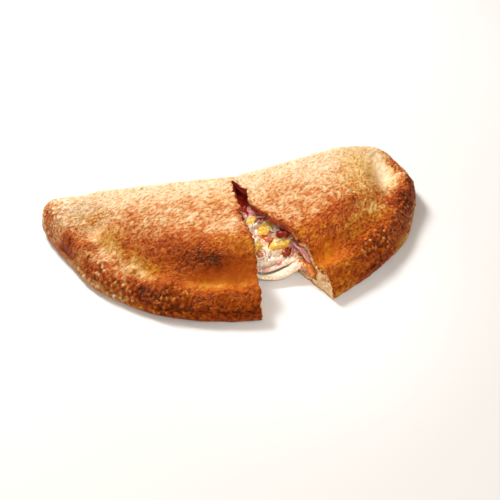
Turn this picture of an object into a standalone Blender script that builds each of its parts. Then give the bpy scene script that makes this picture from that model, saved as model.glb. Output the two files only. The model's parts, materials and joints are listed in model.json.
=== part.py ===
"""Panzerotto: a large half-moon of folded pizza dough, torn open across the middle.

The dough is shaped while it is still whole, in its own plan: u runs along the fold, v runs from the
fold to the rounded rim. A wedge is then torn out and the two halves are swung apart about a hinge
that stays whole near the fold. Cheese, ham, pineapple and tomato bridge the tear.
Lengths are metres, +Z is up, the fold lies along X and the tear opens towards -Y.
"""
import math
import random

import bmesh
import bpy
import numpy as np
from mathutils import Vector, geometry, noise

# ---- driving dimensions -------------------------------------------------------------------------
REACH_LEFT = 0.153          # hinge to the left tip, along the fold
REACH_RIGHT = 0.148
DEPTH = 0.1405              # fold to the rim
OUTLINE_POWER = 1.85        # 2 is an ellipse, less is a little more pointed
SETBACK_LEFT = 0.0102       # how far in front of the fold the tips lie
SETBACK_RIGHT = 0.0392
CORNER_LEFT = 0.0100        # radius where the fold turns into the tip
CORNER_RIGHT = 0.0347
DOME_LEFT = 0.0400          # height of the puffed top
DOME_RIGHT = 0.0345
FOLD_HEIGHT = 0.0325        # height of the rolled fold
RIM_HEIGHT = 0.0210
TIP_RISE = 0.0060           # the tips are thicker than the rest of the rim
RIM_WIDTH = 0.0260          # rim to the foot of the dome
SHOULDER_WIDTH = 0.0300     # foot of the dome to its top
WALL = 0.0052               # dough over and round the filling
FLOOR_WALL = 0.0048         # dough under the filling

HINGE_SETBACK = 0.0120      # hinge to the fold
HALF_OPENING = math.radians(8.47)
TORN_AWAY = math.tan(math.radians(8.0))   # the right half has lost a sliver this steep
HINGE = (0.00123, 0.04676)  # where the hinge stands, so that the whole lies centred on the origin

GAP = 0.0003                # clear space between neighbouring pieces
FINE_STEP = 0.0019          # spacing of the dough surface before it is thinned out
CRUST_TRIANGLES = 8200
FILLING_TRIANGLES = 2600

# Hollows and swellings of the dough: (u, v, length, width, direction in degrees, height)
LANDMARKS = (
    (-0.112, 0.047, 0.016, 0.010, -60, -0.0045),
    (-0.105, 0.074, 0.016, 0.008, 55, -0.0035),
    (-0.083, 0.099, 0.024, 0.007, 38, -0.0030),
    (-0.036, 0.117, 0.030, 0.007, 8, -0.0032),
    (-0.119, 0.060, 0.012, 0.006, -25, 0.0030),
    (-0.096, 0.062, 0.012, 0.006, 70, 0.0022),
    (-0.128, 0.030, 0.016, 0.010, -70, 0.0030),
    (-0.050, 0.093, 0.026, 0.010, 20, 0.0022),
    (-0.015, 0.100, 0.014, 0.009, -10, 0.0018),
    (-0.075, 0.075, 0.018, 0.012, 30, -0.0014),
    (0.118, 0.055, 0.016, 0.010, -50, -0.0050),
    (0.133, 0.066, 0.010, 0.008, 80, 0.0030),
    (0.100, 0.084, 0.018, 0.010, -35, 0.0018),
    (0.022, 0.116, 0.014, 0.010, 0, -0.0018),
    (0.040, 0.100, 0.016, 0.010, 10, 0.0020),
    (0.062, 0.060, 0.022, 0.014, 30, 0.0014),
)
# Swellings of the outline: (direction round the middle in degrees, spread in degrees, reach)
OUTLINE_SWELLS = (
    (165, 5, 0.0040),
    (182, 8, -0.0034),
    (222, 20, 0.0018),
    (331, 10, 0.0028),
    (357, 8, 0.0036),
    (19, 7, -0.0026),
)
# Groups of blisters: (u, v, spread, how many)
BLISTER_GROUPS = (
    (-0.100, 0.088, 0.016, 10),
    (-0.078, 0.106, 0.018, 12),
    (-0.052, 0.122, 0.018, 12),
    (-0.020, 0.130, 0.014, 5),
    (-0.126, 0.062, 0.012, 5),
    (0.077, 0.114, 0.015, 9),
    (0.058, 0.122, 0.014, 8),
    (0.036, 0.130, 0.012, 7),
    (0.112, 0.090, 0.014, 5),
    (0.075, 0.069, 0.010, 3),
)
# Cross-section of the lip, from its foot up over the edge: (inset, height), at the rim and at the fold
RIM_SECTION = (
    (0.0046, 0.0000), (0.0016, 0.0006), (0.0004, 0.0026), (0.0000, 0.0052), (0.0007, 0.0074),
    (0.0024, 0.0086), (0.0022, 0.0100), (0.0027, 0.0130), (0.0046, 0.0158),
)
FOLD_SECTION = (
    (0.0080, 0.0000), (0.0036, 0.0012), (0.0009, 0.0050), (0.0000, 0.0110), (0.0004, 0.0170),
    (0.0020, 0.0220), (0.0042, 0.0258), (0.0070, 0.0286), (0.0105, 0.0308),
)
# Torn edges at the top of the crust, seen from above: (distance out from the hinge, x from the hinge)
LEFT_TOP_EDGE = (
    (0.0088, -0.0050), (0.0250, -0.0073), (0.0374, -0.0085), (0.0442, -0.0083), (0.0466, -0.0136),
    (0.0561, -0.0115), (0.0636, -0.0108), (0.0756, -0.0111), (0.0829, -0.0106), (0.0924, -0.0121),
    (0.1020, -0.0144), (0.1150, -0.0163), (0.1650, -0.0245),
)
RIGHT_TOP_EDGE = (
    (0.0088, -0.0042), (0.0154, -0.0008), (0.0226, 0.0032), (0.0323, 0.0010), (0.0430, 0.0004),
    (0.0487, 0.0031), (0.0539, 0.0074), (0.0620, 0.0092), (0.0676, 0.0147), (0.0738, 0.0184),
    (0.0866, 0.0226), (0.0885, 0.0264), (0.0985, 0.0286), (0.1092, 0.0308), (0.1144, 0.0338),
    (0.1650, 0.0488),
)
BOTTOM_START = 0.0015       # the lower crust is torn from this far out
LOWER_LIP = (0.0930, 0.0180, -0.0026)   # the right lower crust reaches into the tear: (out, spread, x)
# The right half's edge is drawn towards the tear: (out, spread, reach)
DRAWN_OVER = ((0.0410, 0.0130, 0.0062), (0.0090, 0.0080, 0.0052))
DRAWN_WIDTH = 0.018

# ---- the filling ----
FILLING_INSET = 0.0215      # rim to the filling
FILLING_EASE = 0.0009       # air between the filling and the dough over it
HEAP = (0.0165, 0.0212, 0.0224, 0.0210, 0.0168, 0.0112)    # height along the tear, from the hinge out
HEAP_STEP = 0.0166
# Front of the cheese across the tear, from the left half to the right one: (x, y)
FRONT = (
    (-0.0170, -0.1000), (-0.0120, -0.0910), (-0.0060, -0.0832), (0.0025, -0.0824),
    (0.0106, -0.0819), (0.0165, -0.0846), (0.0220, -0.0912), (0.0275, -0.1020),
)
# Strings of melted cheese across the tear: x, y, z and radius at the points they pass
STRANDS = (
    ((-0.0220, -0.0860, 0.0105, 0.0018), (-0.0140, -0.0870, 0.0085, 0.0018),
     (-0.0063, -0.0892, 0.0050, 0.0020), (0.0030, -0.0913, 0.0046, 0.0030),
     (0.0123, -0.0905, 0.0060, 0.0038), (0.0196, -0.0898, 0.0092, 0.0036),
     (0.0263, -0.0896, 0.0120, 0.0032), (0.0330, -0.0930, 0.0135, 0.0026)),
    ((-0.0180, -0.0815, 0.0115, 0.0016), (-0.0049, -0.0856, 0.0080, 0.0018),
     (0.0035, -0.0861, 0.0084, 0.0021), (0.0111, -0.0855, 0.0100, 0.0022),
     (0.0170, -0.0858, 0.0118, 0.0020), (0.0250, -0.0860, 0.0140, 0.0017)),
)
# Pieces: name, middle x, y, lift above the cheese, length, width, height, turn in degrees, taper
PINEAPPLE = (
    ("pineapple_chunk_1", 0.0094, -0.0533, 0.0016, 0.0122, 0.0100, 0.0076, 25, 0.35),
    ("pineapple_chunk_2", 0.0140, -0.0711, 0.0024, 0.0146, 0.0080, 0.0088, -5, 0.40),
    ("pineapple_chunk_3", -0.0044, -0.0650, 0.0012, 0.0125, 0.0085, 0.0070, 80, 0.30),
    ("pineapple_chunk_4", -0.0004, -0.0440, 0.0004, 0.0092, 0.0052, 0.0046, 20, 0.20),
)
TOMATO = (
    ("tomato_piece_1", 0.0190, -0.0650, 0.0018, 0.0104, 0.0056, 0.0058, -25, 0.25),
    ("tomato_piece_2", 0.0166, -0.0786, 0.0022, 0.0068, 0.0044, 0.0050, 25, 0.30),
    ("tomato_piece_3", 0.0072, -0.0642, 0.0010, 0.0056, 0.0040, 0.0042, -20, 0.10),
    ("tomato_piece_4", -0.0026, -0.0752, 0.0004, 0.0062, 0.0046, 0.0044, 10, 0.20),
)
# Slices: name, middle x, y, length, width, turn in degrees, height of the middle
HAM = (
    ("ham_slice_1", 0.0076, -0.0338, 0.0200, 0.0115, -62, 0.0224),
    ("ham_slice_2", 0.0218, -0.0580, 0.0140, 0.0080, -60, 0.0248),
    ("ham_slice_3", 0.0264, -0.0845, 0.0250, 0.0090, -76, 0.0232),
)
HAM_THICKNESS = 0.0018


# ---- small helpers ------------------------------------------------------------------------------
def ease(t):
    t = np.clip(t, 0.0, 1.0)
    return t * t * (3.0 - 2.0 * t)


def quarter_round(t):
    return np.sqrt(1.0 - (1.0 - np.clip(t, 0.0, 1.0)) ** 2)


def mix(a, b, t):
    return a + (b - a) * t


def by_side(u, left, right):
    return np.where(u < 0.0, left, right)


def bump(u, v, place_u, place_v, length, width, degrees):
    """A soft oval hill of height 1."""
    turn = math.radians(degrees)
    along = (u - place_u) * math.cos(turn) + (v - place_v) * math.sin(turn)
    across = (v - place_v) * math.cos(turn) - (u - place_u) * math.sin(turn)
    return np.exp(-((along / length) ** 2) - (across / width) ** 2)


def rough(x, y, size, seed):
    """Smooth noise between about -1 and 1, with features about `size` across."""
    points = zip(np.ravel(x) / size, np.ravel(y) / size)
    values = [noise.noise(Vector((a, b, seed * 7.3))) for a, b in points]
    return np.array(values).reshape(np.shape(x))


# ---- the whole dough, before it is torn ---------------------------------------------------------
def rim_distance(u, v):
    """Distance in from the rounded rim."""
    reach = by_side(u, REACH_LEFT, REACH_RIGHT)
    setback = by_side(u, SETBACK_LEFT, SETBACK_RIGHT)
    depth = DEPTH - setback
    across = np.abs(u) / reach
    down = np.maximum(v - setback, 0.0) / depth
    scale = np.maximum((across ** OUTLINE_POWER + down ** OUTLINE_POWER) ** (1 / OUTLINE_POWER), 1e-6)
    slope_u = (across / scale) ** (OUTLINE_POWER - 1) / reach
    slope_v = (down / scale) ** (OUTLINE_POWER - 1) / depth
    return (1 - scale) / np.maximum(np.hypot(slope_u, slope_v), 1e-6)


def edge_distance(u, v):
    """Distance in from the rim or the fold, whichever is nearer."""
    corner = by_side(u, CORNER_LEFT, CORNER_RIGHT)
    reach = by_side(u, REACH_LEFT, REACH_RIGHT)
    past = np.abs(u) - (reach - corner)
    turned = corner - np.hypot(np.maximum(past, 0.0), np.maximum(corner - v, 0.0))
    straight = np.minimum(v, reach - np.abs(u))
    near_fold = np.where((past > 0) & (v < corner), turned, straight)
    in_front = v > by_side(u, SETBACK_LEFT, SETBACK_RIGHT)
    return np.where(in_front, np.minimum(rim_distance(u, v), v), near_fold)


def puffed_height(u, v):
    """The smooth form of the top: rim, valley, dome and rolled fold."""
    inside = rim_distance(u, v)
    along = np.abs(u) / by_side(u, REACH_LEFT, REACH_RIGHT)
    dome = mix(DOME_LEFT, DOME_RIGHT, ease((u + 0.015) / 0.03)) * (1 - 0.22 * along ** 2.2)
    tip = TIP_RISE * ease((along - 0.72) / 0.25)
    foot = RIM_HEIGHT * (0.62 + 0.38 * ease(inside / 0.015)) + tip
    rise = np.sin(np.clip((inside - 0.8 * RIM_WIDTH) / SHOULDER_WIDTH, 0, 1) * math.pi / 2) ** 1.3
    height = foot + (dome - RIM_HEIGHT - tip) * rise
    height = height - (dome - FOLD_HEIGHT) * ease((0.065 - v) / 0.065) * rise
    roll = FOLD_HEIGHT * (1 - 0.12 * along ** 2) * ease(1 - (v - 0.015) / 0.05)
    return (np.maximum(height, 0) ** 6 + np.maximum(roll, 0) ** 6) ** (1 / 6)


def top_height(u, v):
    """The puffed form, rounded down to the lip at its edge."""
    height = puffed_height(u, v)
    away = ease((v - 0.008) / 0.025)
    lip = mix(0.0100, 0.0045, away)
    radius = mix(0.0220, 0.0110, away)
    return lip + (height - lip) * quarter_round(edge_distance(u, v) / radius)


def blisters():
    """Places, radii and heights of the bubbles that the oven raised on the dough."""
    draw = random.Random(41)
    found = []
    for place_u, place_v, spread, count in BLISTER_GROUPS:
        for _ in range(count):
            turn = draw.uniform(0, 2 * math.pi)
            away = spread * math.sqrt(draw.random())
            radius = draw.uniform(0.0018, 0.0036)
            spot = (place_u + away * math.cos(turn), place_v + away * math.sin(turn))
            found.append((spot[0], spot[1], radius, radius * draw.uniform(0.35, 0.5)))
    return found


def relief(u, v):
    """Everything that makes the dough uneven, as a height to add."""
    height = np.zeros_like(u)
    for place_u, place_v, length, width, degrees, rise in LANDMARKS:
        height += rise * bump(u, v, place_u, place_v, length, width, degrees)
    inside = ease(edge_distance(u, v) / 0.02)
    height += 0.0013 * inside * rough(u, v, 0.030, 1)
    height += 0.0008 * rough(u, v, 0.012, 2)
    height += 0.0003 * rough(u, v, 0.005, 3)
    for place_u, place_v, radius, rise in blisters():
        off = np.hypot(u - place_u, v - place_v) / radius
        height += rise * np.sqrt(np.clip(1 - off * off, 0, 1))
    return height


def uneven(u, v):
    """Shift plan points so that the outline isn't a perfect curve."""
    middle_v = 0.4 * DEPTH
    facing = np.degrees(np.arctan2(middle_v - v, u)) % 360
    push = 0.0007 * rough(np.cos(np.radians(facing)), np.sin(np.radians(facing)), 0.12, 5)
    for degrees, spread, reach in OUTLINE_SWELLS:
        off = (facing - degrees + 180) % 360 - 180
        push += reach * np.exp(-((off / spread) ** 2))
    push *= np.exp(-np.maximum(edge_distance(u, v), 0) / 0.018)
    away = np.maximum(np.hypot(u, v - middle_v), 1e-6)
    return u + push * u / away, v + push * (v - middle_v) / away


def outline(inset_rim, inset_fold, arc_points=170, corner_points=14, fold_points=60):
    """Plan points round the dough, starting at the left tip and going along the rim."""
    power = 2 / OUTLINE_POWER
    turn = np.linspace(math.pi, 2 * math.pi, arc_points)
    side = np.cos(turn)
    setback = by_side(side, SETBACK_LEFT, SETBACK_RIGHT)
    reach = by_side(side, REACH_LEFT, REACH_RIGHT) - inset_rim
    rim_u = np.sign(side) * np.abs(side) ** power * reach
    rim_v = setback + np.abs(np.sin(turn)) ** power * (DEPTH - inset_rim - setback)
    turn = np.linspace(0, math.pi / 2, corner_points)
    inset = mix(inset_rim, inset_fold, ease(turn / (math.pi / 2)))
    right_u = REACH_RIGHT - CORNER_RIGHT + (CORNER_RIGHT - inset) * np.cos(turn)
    right_v = CORNER_RIGHT - (CORNER_RIGHT - inset) * np.sin(turn)
    left_u = -(REACH_LEFT - CORNER_LEFT) - (CORNER_LEFT - inset) * np.cos(turn)
    left_v = CORNER_LEFT - (CORNER_LEFT - inset) * np.sin(turn)
    fold_u = np.linspace(right_u[-1], left_u[-1], fold_points)[1:-1]
    fold_v = np.full_like(fold_u, inset_fold)
    u = np.concatenate([rim_u, right_u[1:], fold_u, left_u[::-1][:-1]])
    v = np.concatenate([rim_v, right_v[1:], fold_v, left_v[::-1][:-1]])
    return u, v


# ---- opening the tear ---------------------------------------------------------------------------
def open_out(u, v):
    """Swing both halves about the hinge, softly where the fold stays whole."""
    soft = mix(0.008, 0.001, ease((v - HINGE_SETBACK) / 0.010))
    turn = HALF_OPENING * np.sign(u) * ease(np.abs(u) / soft)
    y = HINGE_SETBACK - v
    drawn = 0.0
    for out, spread, reach in DRAWN_OVER:
        drawn = drawn + reach * np.exp(-(((y + out) / spread) ** 2))
    drawn = drawn * ease(u / soft) * np.exp(-np.maximum(u, 0) / DRAWN_WIDTH)
    return (HINGE[0] + u * np.cos(turn) - y * np.sin(turn) - drawn,
            HINGE[1] + u * np.sin(turn) + y * np.cos(turn))


def close_up(x, y):
    """The plan point of the whole dough that ended up at x, y in one of the halves."""
    x = x - HINGE[0]
    y = y - HINGE[1]
    turn = -HALF_OPENING * np.where(x < 0, -1.0, 1.0)
    return (x * np.cos(turn) - y * np.sin(turn),
            HINGE_SETBACK - (x * np.sin(turn) + y * np.cos(turn)))


def tear_line(side, level):
    """One torn edge, as x and the distance out from the hinge; level 0 is the bottom, 1 the top."""
    high = ease((level - 0.15) / 0.4)
    start = mix(BOTTOM_START, LEFT_TOP_EDGE[0][0], high)
    out = np.linspace(start, DEPTH + 0.024, 46)
    spread = HALF_OPENING if side < 0 else HALF_OPENING + math.atan(TORN_AWAY)
    low_x = side * math.tan(spread) * out
    if side > 0:
        place, width, reach = LOWER_LIP
        low_x += reach * np.exp(-(((out - place) / width) ** 2))
    top_out, top_x = zip(*(LEFT_TOP_EDGE if side < 0 else RIGHT_TOP_EDGE))
    x = mix(low_x, np.interp(out, top_out, top_x), high)
    waves = 0.0008 * rough(out, np.full_like(out, level * 0.02), 0.016, 11 + side)
    waves += 0.0006 * rough(out, np.full_like(out, level * 0.05), 0.0045, 13 + side)
    return x + waves * ease((out - start) / 0.01), out


# ---- making meshes ------------------------------------------------------------------------------
def fill_plan(loop_x, loop_y, step, seed):
    """Triangles over the inside of a closed plan loop, with evenly strewn points between."""
    loop = [Vector((a, b)) for a, b in zip(loop_x, loop_y)]
    count = len(loop)
    low = (min(loop_x), min(loop_y))
    high = (max(loop_x), max(loop_y))
    draw = random.Random(seed)
    strewn = []
    rows = int((high[1] - low[1]) / (step * 0.87))
    columns = int((high[0] - low[0]) / step)
    for row in range(rows + 1):
        for column in range(columns + 1):
            a = low[0] + (column + 0.5 * (row % 2) + draw.uniform(-0.18, 0.18)) * step
            b = low[1] + (row + draw.uniform(-0.18, 0.18)) * step * 0.87
            strewn.append((a, b))
    strewn = np.array(strewn)
    ring = np.column_stack([loop_x, loop_y])
    nearest = np.min(np.hypot(strewn[:, None, 0] - ring[None, :, 0],
                              strewn[:, None, 1] - ring[None, :, 1]), axis=1)
    strewn = strewn[nearest > 0.6 * step]
    points = loop + [Vector((a, b)) for a, b in strewn]
    edges = [(i, (i + 1) % count) for i in range(count)]
    spots, _, faces, _, _, _ = geometry.delaunay_2d_cdt(points, edges, [], 1, 1e-7)
    used = sorted({i for face in faces for i in face})
    rename = {old: new for new, old in enumerate(used)}
    inside = np.array([(spots[i].x, spots[i].y) for i in used])
    return inside, [tuple(rename[i] for i in face) for face in faces]


def face_outward(thing):
    shape = bmesh.new()
    shape.from_mesh(thing.data)
    bmesh.ops.remove_doubles(shape, verts=shape.verts, dist=1e-6)
    bmesh.ops.recalc_face_normals(shape, faces=shape.faces)
    shape.to_mesh(thing.data)
    shape.free()


def new_object(name, vertices, faces):
    mesh = bpy.data.meshes.new(name)
    mesh.from_pydata([tuple(map(float, p)) for p in vertices], [], faces)
    thing = bpy.data.objects.new(name, mesh)
    bpy.context.collection.objects.link(thing)
    face_outward(thing)
    return thing


def solid_between(name, x, y, step, seed, top, bottom):
    """A closed solid over a plan loop, between two height functions of x and y."""
    spots, faces = fill_plan(x, y, step, seed)
    count = len(spots)
    upper = top(spots[:, 0], spots[:, 1])
    lower = bottom(spots[:, 0], spots[:, 1])
    vertices = [(a, b, c) for (a, b), c in zip(spots, upper)]
    vertices += [(a, b, c) for (a, b), c in zip(spots, lower)]
    edge_use = {}
    for face in faces:
        for i, first in enumerate(face):
            second = face[(i + 1) % len(face)]
            key = (min(first, second), max(first, second))
            edge_use.setdefault(key, []).append((first, second))
    walls = []
    for uses in edge_use.values():
        if len(uses) == 1:
            first, second = uses[0]
            walls.append((first, second, second + count, first + count))
    under = [tuple(count + i for i in reversed(face)) for face in faces]
    return new_object(name, vertices, faces + under + walls)


def apply_modifiers(thing):
    graph = bpy.context.evaluated_depsgraph_get()
    mesh = bpy.data.meshes.new_from_object(thing.evaluated_get(graph))
    thing.modifiers.clear()
    thing.data = mesh


def combine(thing, other, operation):
    """Cut or join `other` and remove it."""
    step = thing.modifiers.new(operation.title(), "BOOLEAN")
    step.operation = operation
    step.solver = "EXACT"
    step.object = other
    apply_modifiers(thing)
    bpy.data.objects.remove(other)


def thin_out(thing, triangles):
    """Keep about this many triangles, where the surface bends most."""
    mesh = thing.data
    shape = bmesh.new()
    shape.from_mesh(mesh)
    bmesh.ops.triangulate(shape, faces=shape.faces)
    have = len(shape.faces)
    shape.to_mesh(mesh)
    shape.free()
    if have > triangles:
        step = thing.modifiers.new("Thin out", "DECIMATE")
        step.ratio = triangles / have
        apply_modifiers(thing)


def keep_largest_piece(thing):
    """Drop loose scraps that a cut left behind, also those that still touch at an edge."""
    shape = bmesh.new()
    shape.from_mesh(thing.data)
    waiting = set(shape.faces)
    pieces = []
    while waiting:
        stack = [waiting.pop()]
        piece = []
        while stack:
            face = stack.pop()
            piece.append(face)
            for edge in face.edges:
                if len(edge.link_faces) != 2:
                    continue
                for other in edge.link_faces:
                    if other in waiting:
                        waiting.remove(other)
                        stack.append(other)
        pieces.append(piece)
    pieces.sort(key=len)
    scraps = [face for piece in pieces[:-1] for face in piece]
    bmesh.ops.delete(shape, geom=scraps, context="FACES")
    loose = [vertex for vertex in shape.verts if not vertex.link_faces]
    bmesh.ops.delete(shape, geom=loose, context="VERTS")
    shape.to_mesh(thing.data)
    shape.free()


def settle(thing):
    """Lay the underside flat on the floor."""
    for vertex in thing.data.vertices:
        if vertex.co.z < 0.0004:
            vertex.co.z = 0.0


def finish(thing, colour, roughness):
    mesh = thing.data
    mesh.shade_smooth()
    mesh.set_sharp_from_angle(angle=math.radians(50))
    material = bpy.data.materials.new(thing.name)
    material.use_nodes = True
    surface = material.node_tree.nodes["Principled BSDF"]
    surface.inputs["Base Color"].default_value = (*colour, 1.0)
    surface.inputs["Roughness"].default_value = roughness
    surface.inputs["Metallic"].default_value = 0.0
    mesh.materials.clear()
    mesh.materials.append(material)


# ---- crust --------------------------------------------------------------------------------------
def whole_dough():
    """The dough as one closed, unbroken half-moon, already opened out at the hinge."""
    inner_u, inner_v = outline(RIM_SECTION[-1][0], FOLD_SECTION[-1][0])
    inner_z = top_height(inner_u, inner_v) + relief(inner_u, inner_v)
    weight = ease((inner_v - 0.008) / 0.025)
    planned = mix(FOLD_SECTION[-1][1], RIM_SECTION[-1][1], weight)
    vertices = []
    rings = []
    for (rim_in, rim_z), (fold_in, fold_z) in zip(RIM_SECTION, FOLD_SECTION):
        u, v = outline(rim_in, fold_in)
        z = mix(fold_z, rim_z, weight) * inner_z / planned
        moved_u, moved_v = uneven(u, v)
        rings.append(range(len(vertices), len(vertices) + len(u)))
        x, y = open_out(moved_u, moved_v)
        vertices += list(zip(x, y, z))
    faces = [tuple(reversed(rings[0]))]
    for lower, upper in zip(rings, rings[1:]):
        count = len(lower)
        for i in range(count):
            j = (i + 1) % count
            faces.append((lower[i], lower[j], upper[j], upper[i]))
    spots, inner = fill_plan(inner_u, inner_v, FINE_STEP, 3)
    u, v = spots[:, 0], spots[:, 1]
    z = top_height(u, v) + relief(u, v)
    moved_u, moved_v = uneven(u, v)
    x, y = open_out(moved_u, moved_v)
    names = []
    for index, spot in enumerate(spots):
        off = np.hypot(inner_u - spot[0], inner_v - spot[1])
        nearest = int(np.argmin(off))
        if off[nearest] < 1e-6:
            names.append(rings[-1][nearest])
        else:
            names.append(len(vertices))
            vertices.append((x[index], y[index], z[index]))
    faces += [tuple(names[i] for i in face) for face in inner]
    return new_object("crust", vertices, faces)


def ceiling(u, v):
    """Underside of the top dough."""
    inside = np.minimum(rim_distance(u, v) - 0.019, v - 0.009)
    room = np.maximum(top_height(u, v) - WALL - FLOOR_WALL, 0.002)
    return FLOOR_WALL + 0.002 + (room - 0.002) * quarter_round(inside / 0.010)


def roof(u, v):
    """Underside of the top dough, with its small unevenness."""
    return ceiling(u, v) + 0.0005 * rough(u, v, 0.01, 31)


def headroom(x, y):
    """The lowest that the top dough hangs near a point of the opened-out plan."""
    u, v = close_up(x, y)
    reach = 0.0022
    heights = [roof(u + a, v + b) for a, b in ((0, 0), (reach, 0), (-reach, 0), (0, reach), (0, -reach))]
    return np.min(heights, axis=0) - FILLING_EASE


def pocket():
    """The hollow that the filling sits in."""
    u, v = outline(0.0190, 0.0090, 110, 8, 40)
    keep = np.concatenate([[True], np.hypot(np.diff(u), np.diff(v)) > 2e-4])
    u, v = u[keep], v[keep]
    hollow = solid_between("pocket", u, v, 0.0042, 5, roof,
                           lambda a, b: FLOOR_WALL + 0.0002 * rough(a, b, 0.012, 32))
    for vertex in hollow.data.vertices:
        vertex.co.x, vertex.co.y = map(float, open_out(vertex.co.x, vertex.co.y))
    face_outward(hollow)
    return hollow


def tear_wedge():
    """What is torn out: a ragged wedge, wider at the top where the crust has broken away."""
    levels = (-0.01, 0.004, 0.011, 0.019, 0.027, 0.034, 0.06)
    vertices = []
    rings = []
    for height in levels:
        share = min(max(height / 0.034, 0), 1)
        left_x, out = tear_line(-1, share)
        right_x, out = tear_line(1, share)
        middle = 0.5 * (left_x + right_x)
        left_x = np.minimum(left_x, middle - GAP)
        right_x = np.maximum(right_x, middle + GAP)
        x = np.concatenate([left_x, right_x[::-1]]) + HINGE[0]
        y = HINGE[1] - np.concatenate([out, out[::-1]])
        rings.append(range(len(vertices), len(vertices) + len(x)))
        vertices += [(a, b, height) for a, b in zip(x, y)]
    faces = [tuple(rings[0]), tuple(reversed(rings[-1]))]
    for lower, upper in zip(rings, rings[1:]):
        count = len(lower)
        for i in range(count):
            j = (i + 1) % count
            faces.append((lower[j], lower[i], upper[i], upper[j]))
    return new_object("tear", vertices, faces)


def make_crust():
    crust = whole_dough()
    combine(crust, pocket(), "DIFFERENCE")
    combine(crust, tear_wedge(), "DIFFERENCE")
    keep_largest_piece(crust)
    thin_out(crust, CRUST_TRIANGLES)
    settle(crust)
    finish(crust, (0.62, 0.33, 0.12), 0.6)
    return crust


# ---- filling ------------------------------------------------------------------------------------
def across_tear(x, y):
    """-1 at the left torn edge, 1 at the right one, 0 midway."""
    out = np.maximum(HINGE[1] - y, 0.002)
    left = -math.tan(HALF_OPENING) * out
    right = math.tan(HALF_OPENING + math.atan(TORN_AWAY)) * out
    return (x - HINGE[0] - left) / (right - left) * 2 - 1


def past_edges(x, y):
    """How far a point lies inside the open tear, from the nearer torn edge."""
    out = np.maximum(HINGE[1] - y, 0)
    left = -math.tan(HALF_OPENING) * out
    right = math.tan(HALF_OPENING + math.atan(TORN_AWAY)) * out
    return np.minimum(x - HINGE[0] - left, right - (x - HINGE[0]))


def near_crust(x, y):
    return past_edges(x, y) < 0.010


def heap_height(x, y):
    """Top of the cheese: heaped under the dough, slumped in the tear, and lumpy."""
    out = np.maximum(HINGE[1] - y, 0)
    slump = np.interp(out, np.arange(len(HEAP)) * HEAP_STEP, HEAP)
    side = np.abs(across_tear(x, y))
    height = slump + 0.0040 * np.clip(side, 0, 1.3) ** 2 + 0.012 * ease((side - 1.1) / 1.2)
    height += 0.0012 * rough(x, y, 0.011, 51) + 0.0007 * rough(x, y, 0.005, 52)
    return np.where(near_crust(x, y), np.minimum(height, headroom(x, y)), height)


def underside(x, y):
    """Bottom of the cheese: on the lower dough, and sagging between the halves."""
    return FLOOR_WALL + GAP + 0.0004 - 0.0020 * ease((past_edges(x, y) - 0.004) / 0.006)


def filling_outline():
    """Plan of the cheese, opened out: inside both halves, with a hollow front across the tear."""
    arc_points = 90
    u, v = outline(FILLING_INSET, 0.0110, arc_points, 6, 30)
    x, y = open_out(u, v)
    around = list(zip(u, x, y))
    torn_front = TORN_AWAY * (DEPTH - FILLING_INSET - HINGE_SETBACK)
    left = [(a, b) for place, a, b in around[:arc_points] if place < -0.004]
    right = [(a, b) for place, a, b in around[:arc_points] if place > torn_front + 0.004]
    behind = [(a, b) for _, a, b in around[arc_points:]]
    front = [(a + HINGE[0], b + HINGE[1]) for a, b in FRONT]
    points = np.array(left + front + right + behind)
    apart = np.hypot(*(points - np.roll(points, 1, axis=0)).T) > 5e-4
    return points[apart, 0], points[apart, 1]


def smooth_path(points, steps=7):
    """A Catmull-Rom curve through the points."""
    spots = [Vector(p) for p in points]
    spots = [2 * spots[0] - spots[1]] + spots + [2 * spots[-1] - spots[-2]]
    path = []
    for before, first, second, after in zip(spots, spots[1:], spots[2:], spots[3:]):
        for i in range(steps):
            t = i / steps
            path.append(0.5 * (2 * first + (second - before) * t
                               + (2 * before - 5 * first + 4 * second - after) * t * t
                               + (3 * first - before - 3 * second + after) * t ** 3))
    return path + [spots[-2]]


def strand(points, seed, sides=10):
    """A string of melted cheese: a tube of uneven thickness."""
    path = smooth_path([(a + HINGE[0], b + HINGE[1], c, radius) for a, b, c, radius in points])
    vertices = []
    faces = []
    for index, spot in enumerate(path):
        ahead = (path[min(index + 1, len(path) - 1)] - path[max(index - 1, 0)]).to_3d()
        across = ahead.cross(Vector((0, 0, 1))).normalized()
        up = across.cross(ahead).normalized()
        girth = spot.w * (1 + 0.12 * noise.noise(Vector((index * 0.35, seed, 0))))
        for side in range(sides):
            turn = 2 * math.pi * side / sides
            vertices.append(spot.to_3d() + girth * (math.cos(turn) * across + 0.85 * math.sin(turn) * up))
    for ring in range(len(path) - 1):
        for side in range(sides):
            a = ring * sides + side
            b = ring * sides + (side + 1) % sides
            faces.append((a, b, b + sides, a + sides))
    faces.append(tuple(range(sides)))
    faces.append(tuple(reversed(range(len(vertices) - sides, len(vertices)))))
    return new_object("strand", vertices, faces)


def make_filling(cutters):
    x, y = filling_outline()
    filling = solid_between("filling", x, y, 0.0030, 7, heap_height, underside)
    for seed, points in enumerate(STRANDS):
        combine(filling, strand(points, seed), "UNION")
    for cutter in cutters:
        combine(filling, cutter, "DIFFERENCE")
    keep_largest_piece(filling)
    thin_out(filling, FILLING_TRIANGLES)
    keep_largest_piece(filling)
    finish(filling, (0.86, 0.74, 0.52), 0.35)
    return filling


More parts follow.
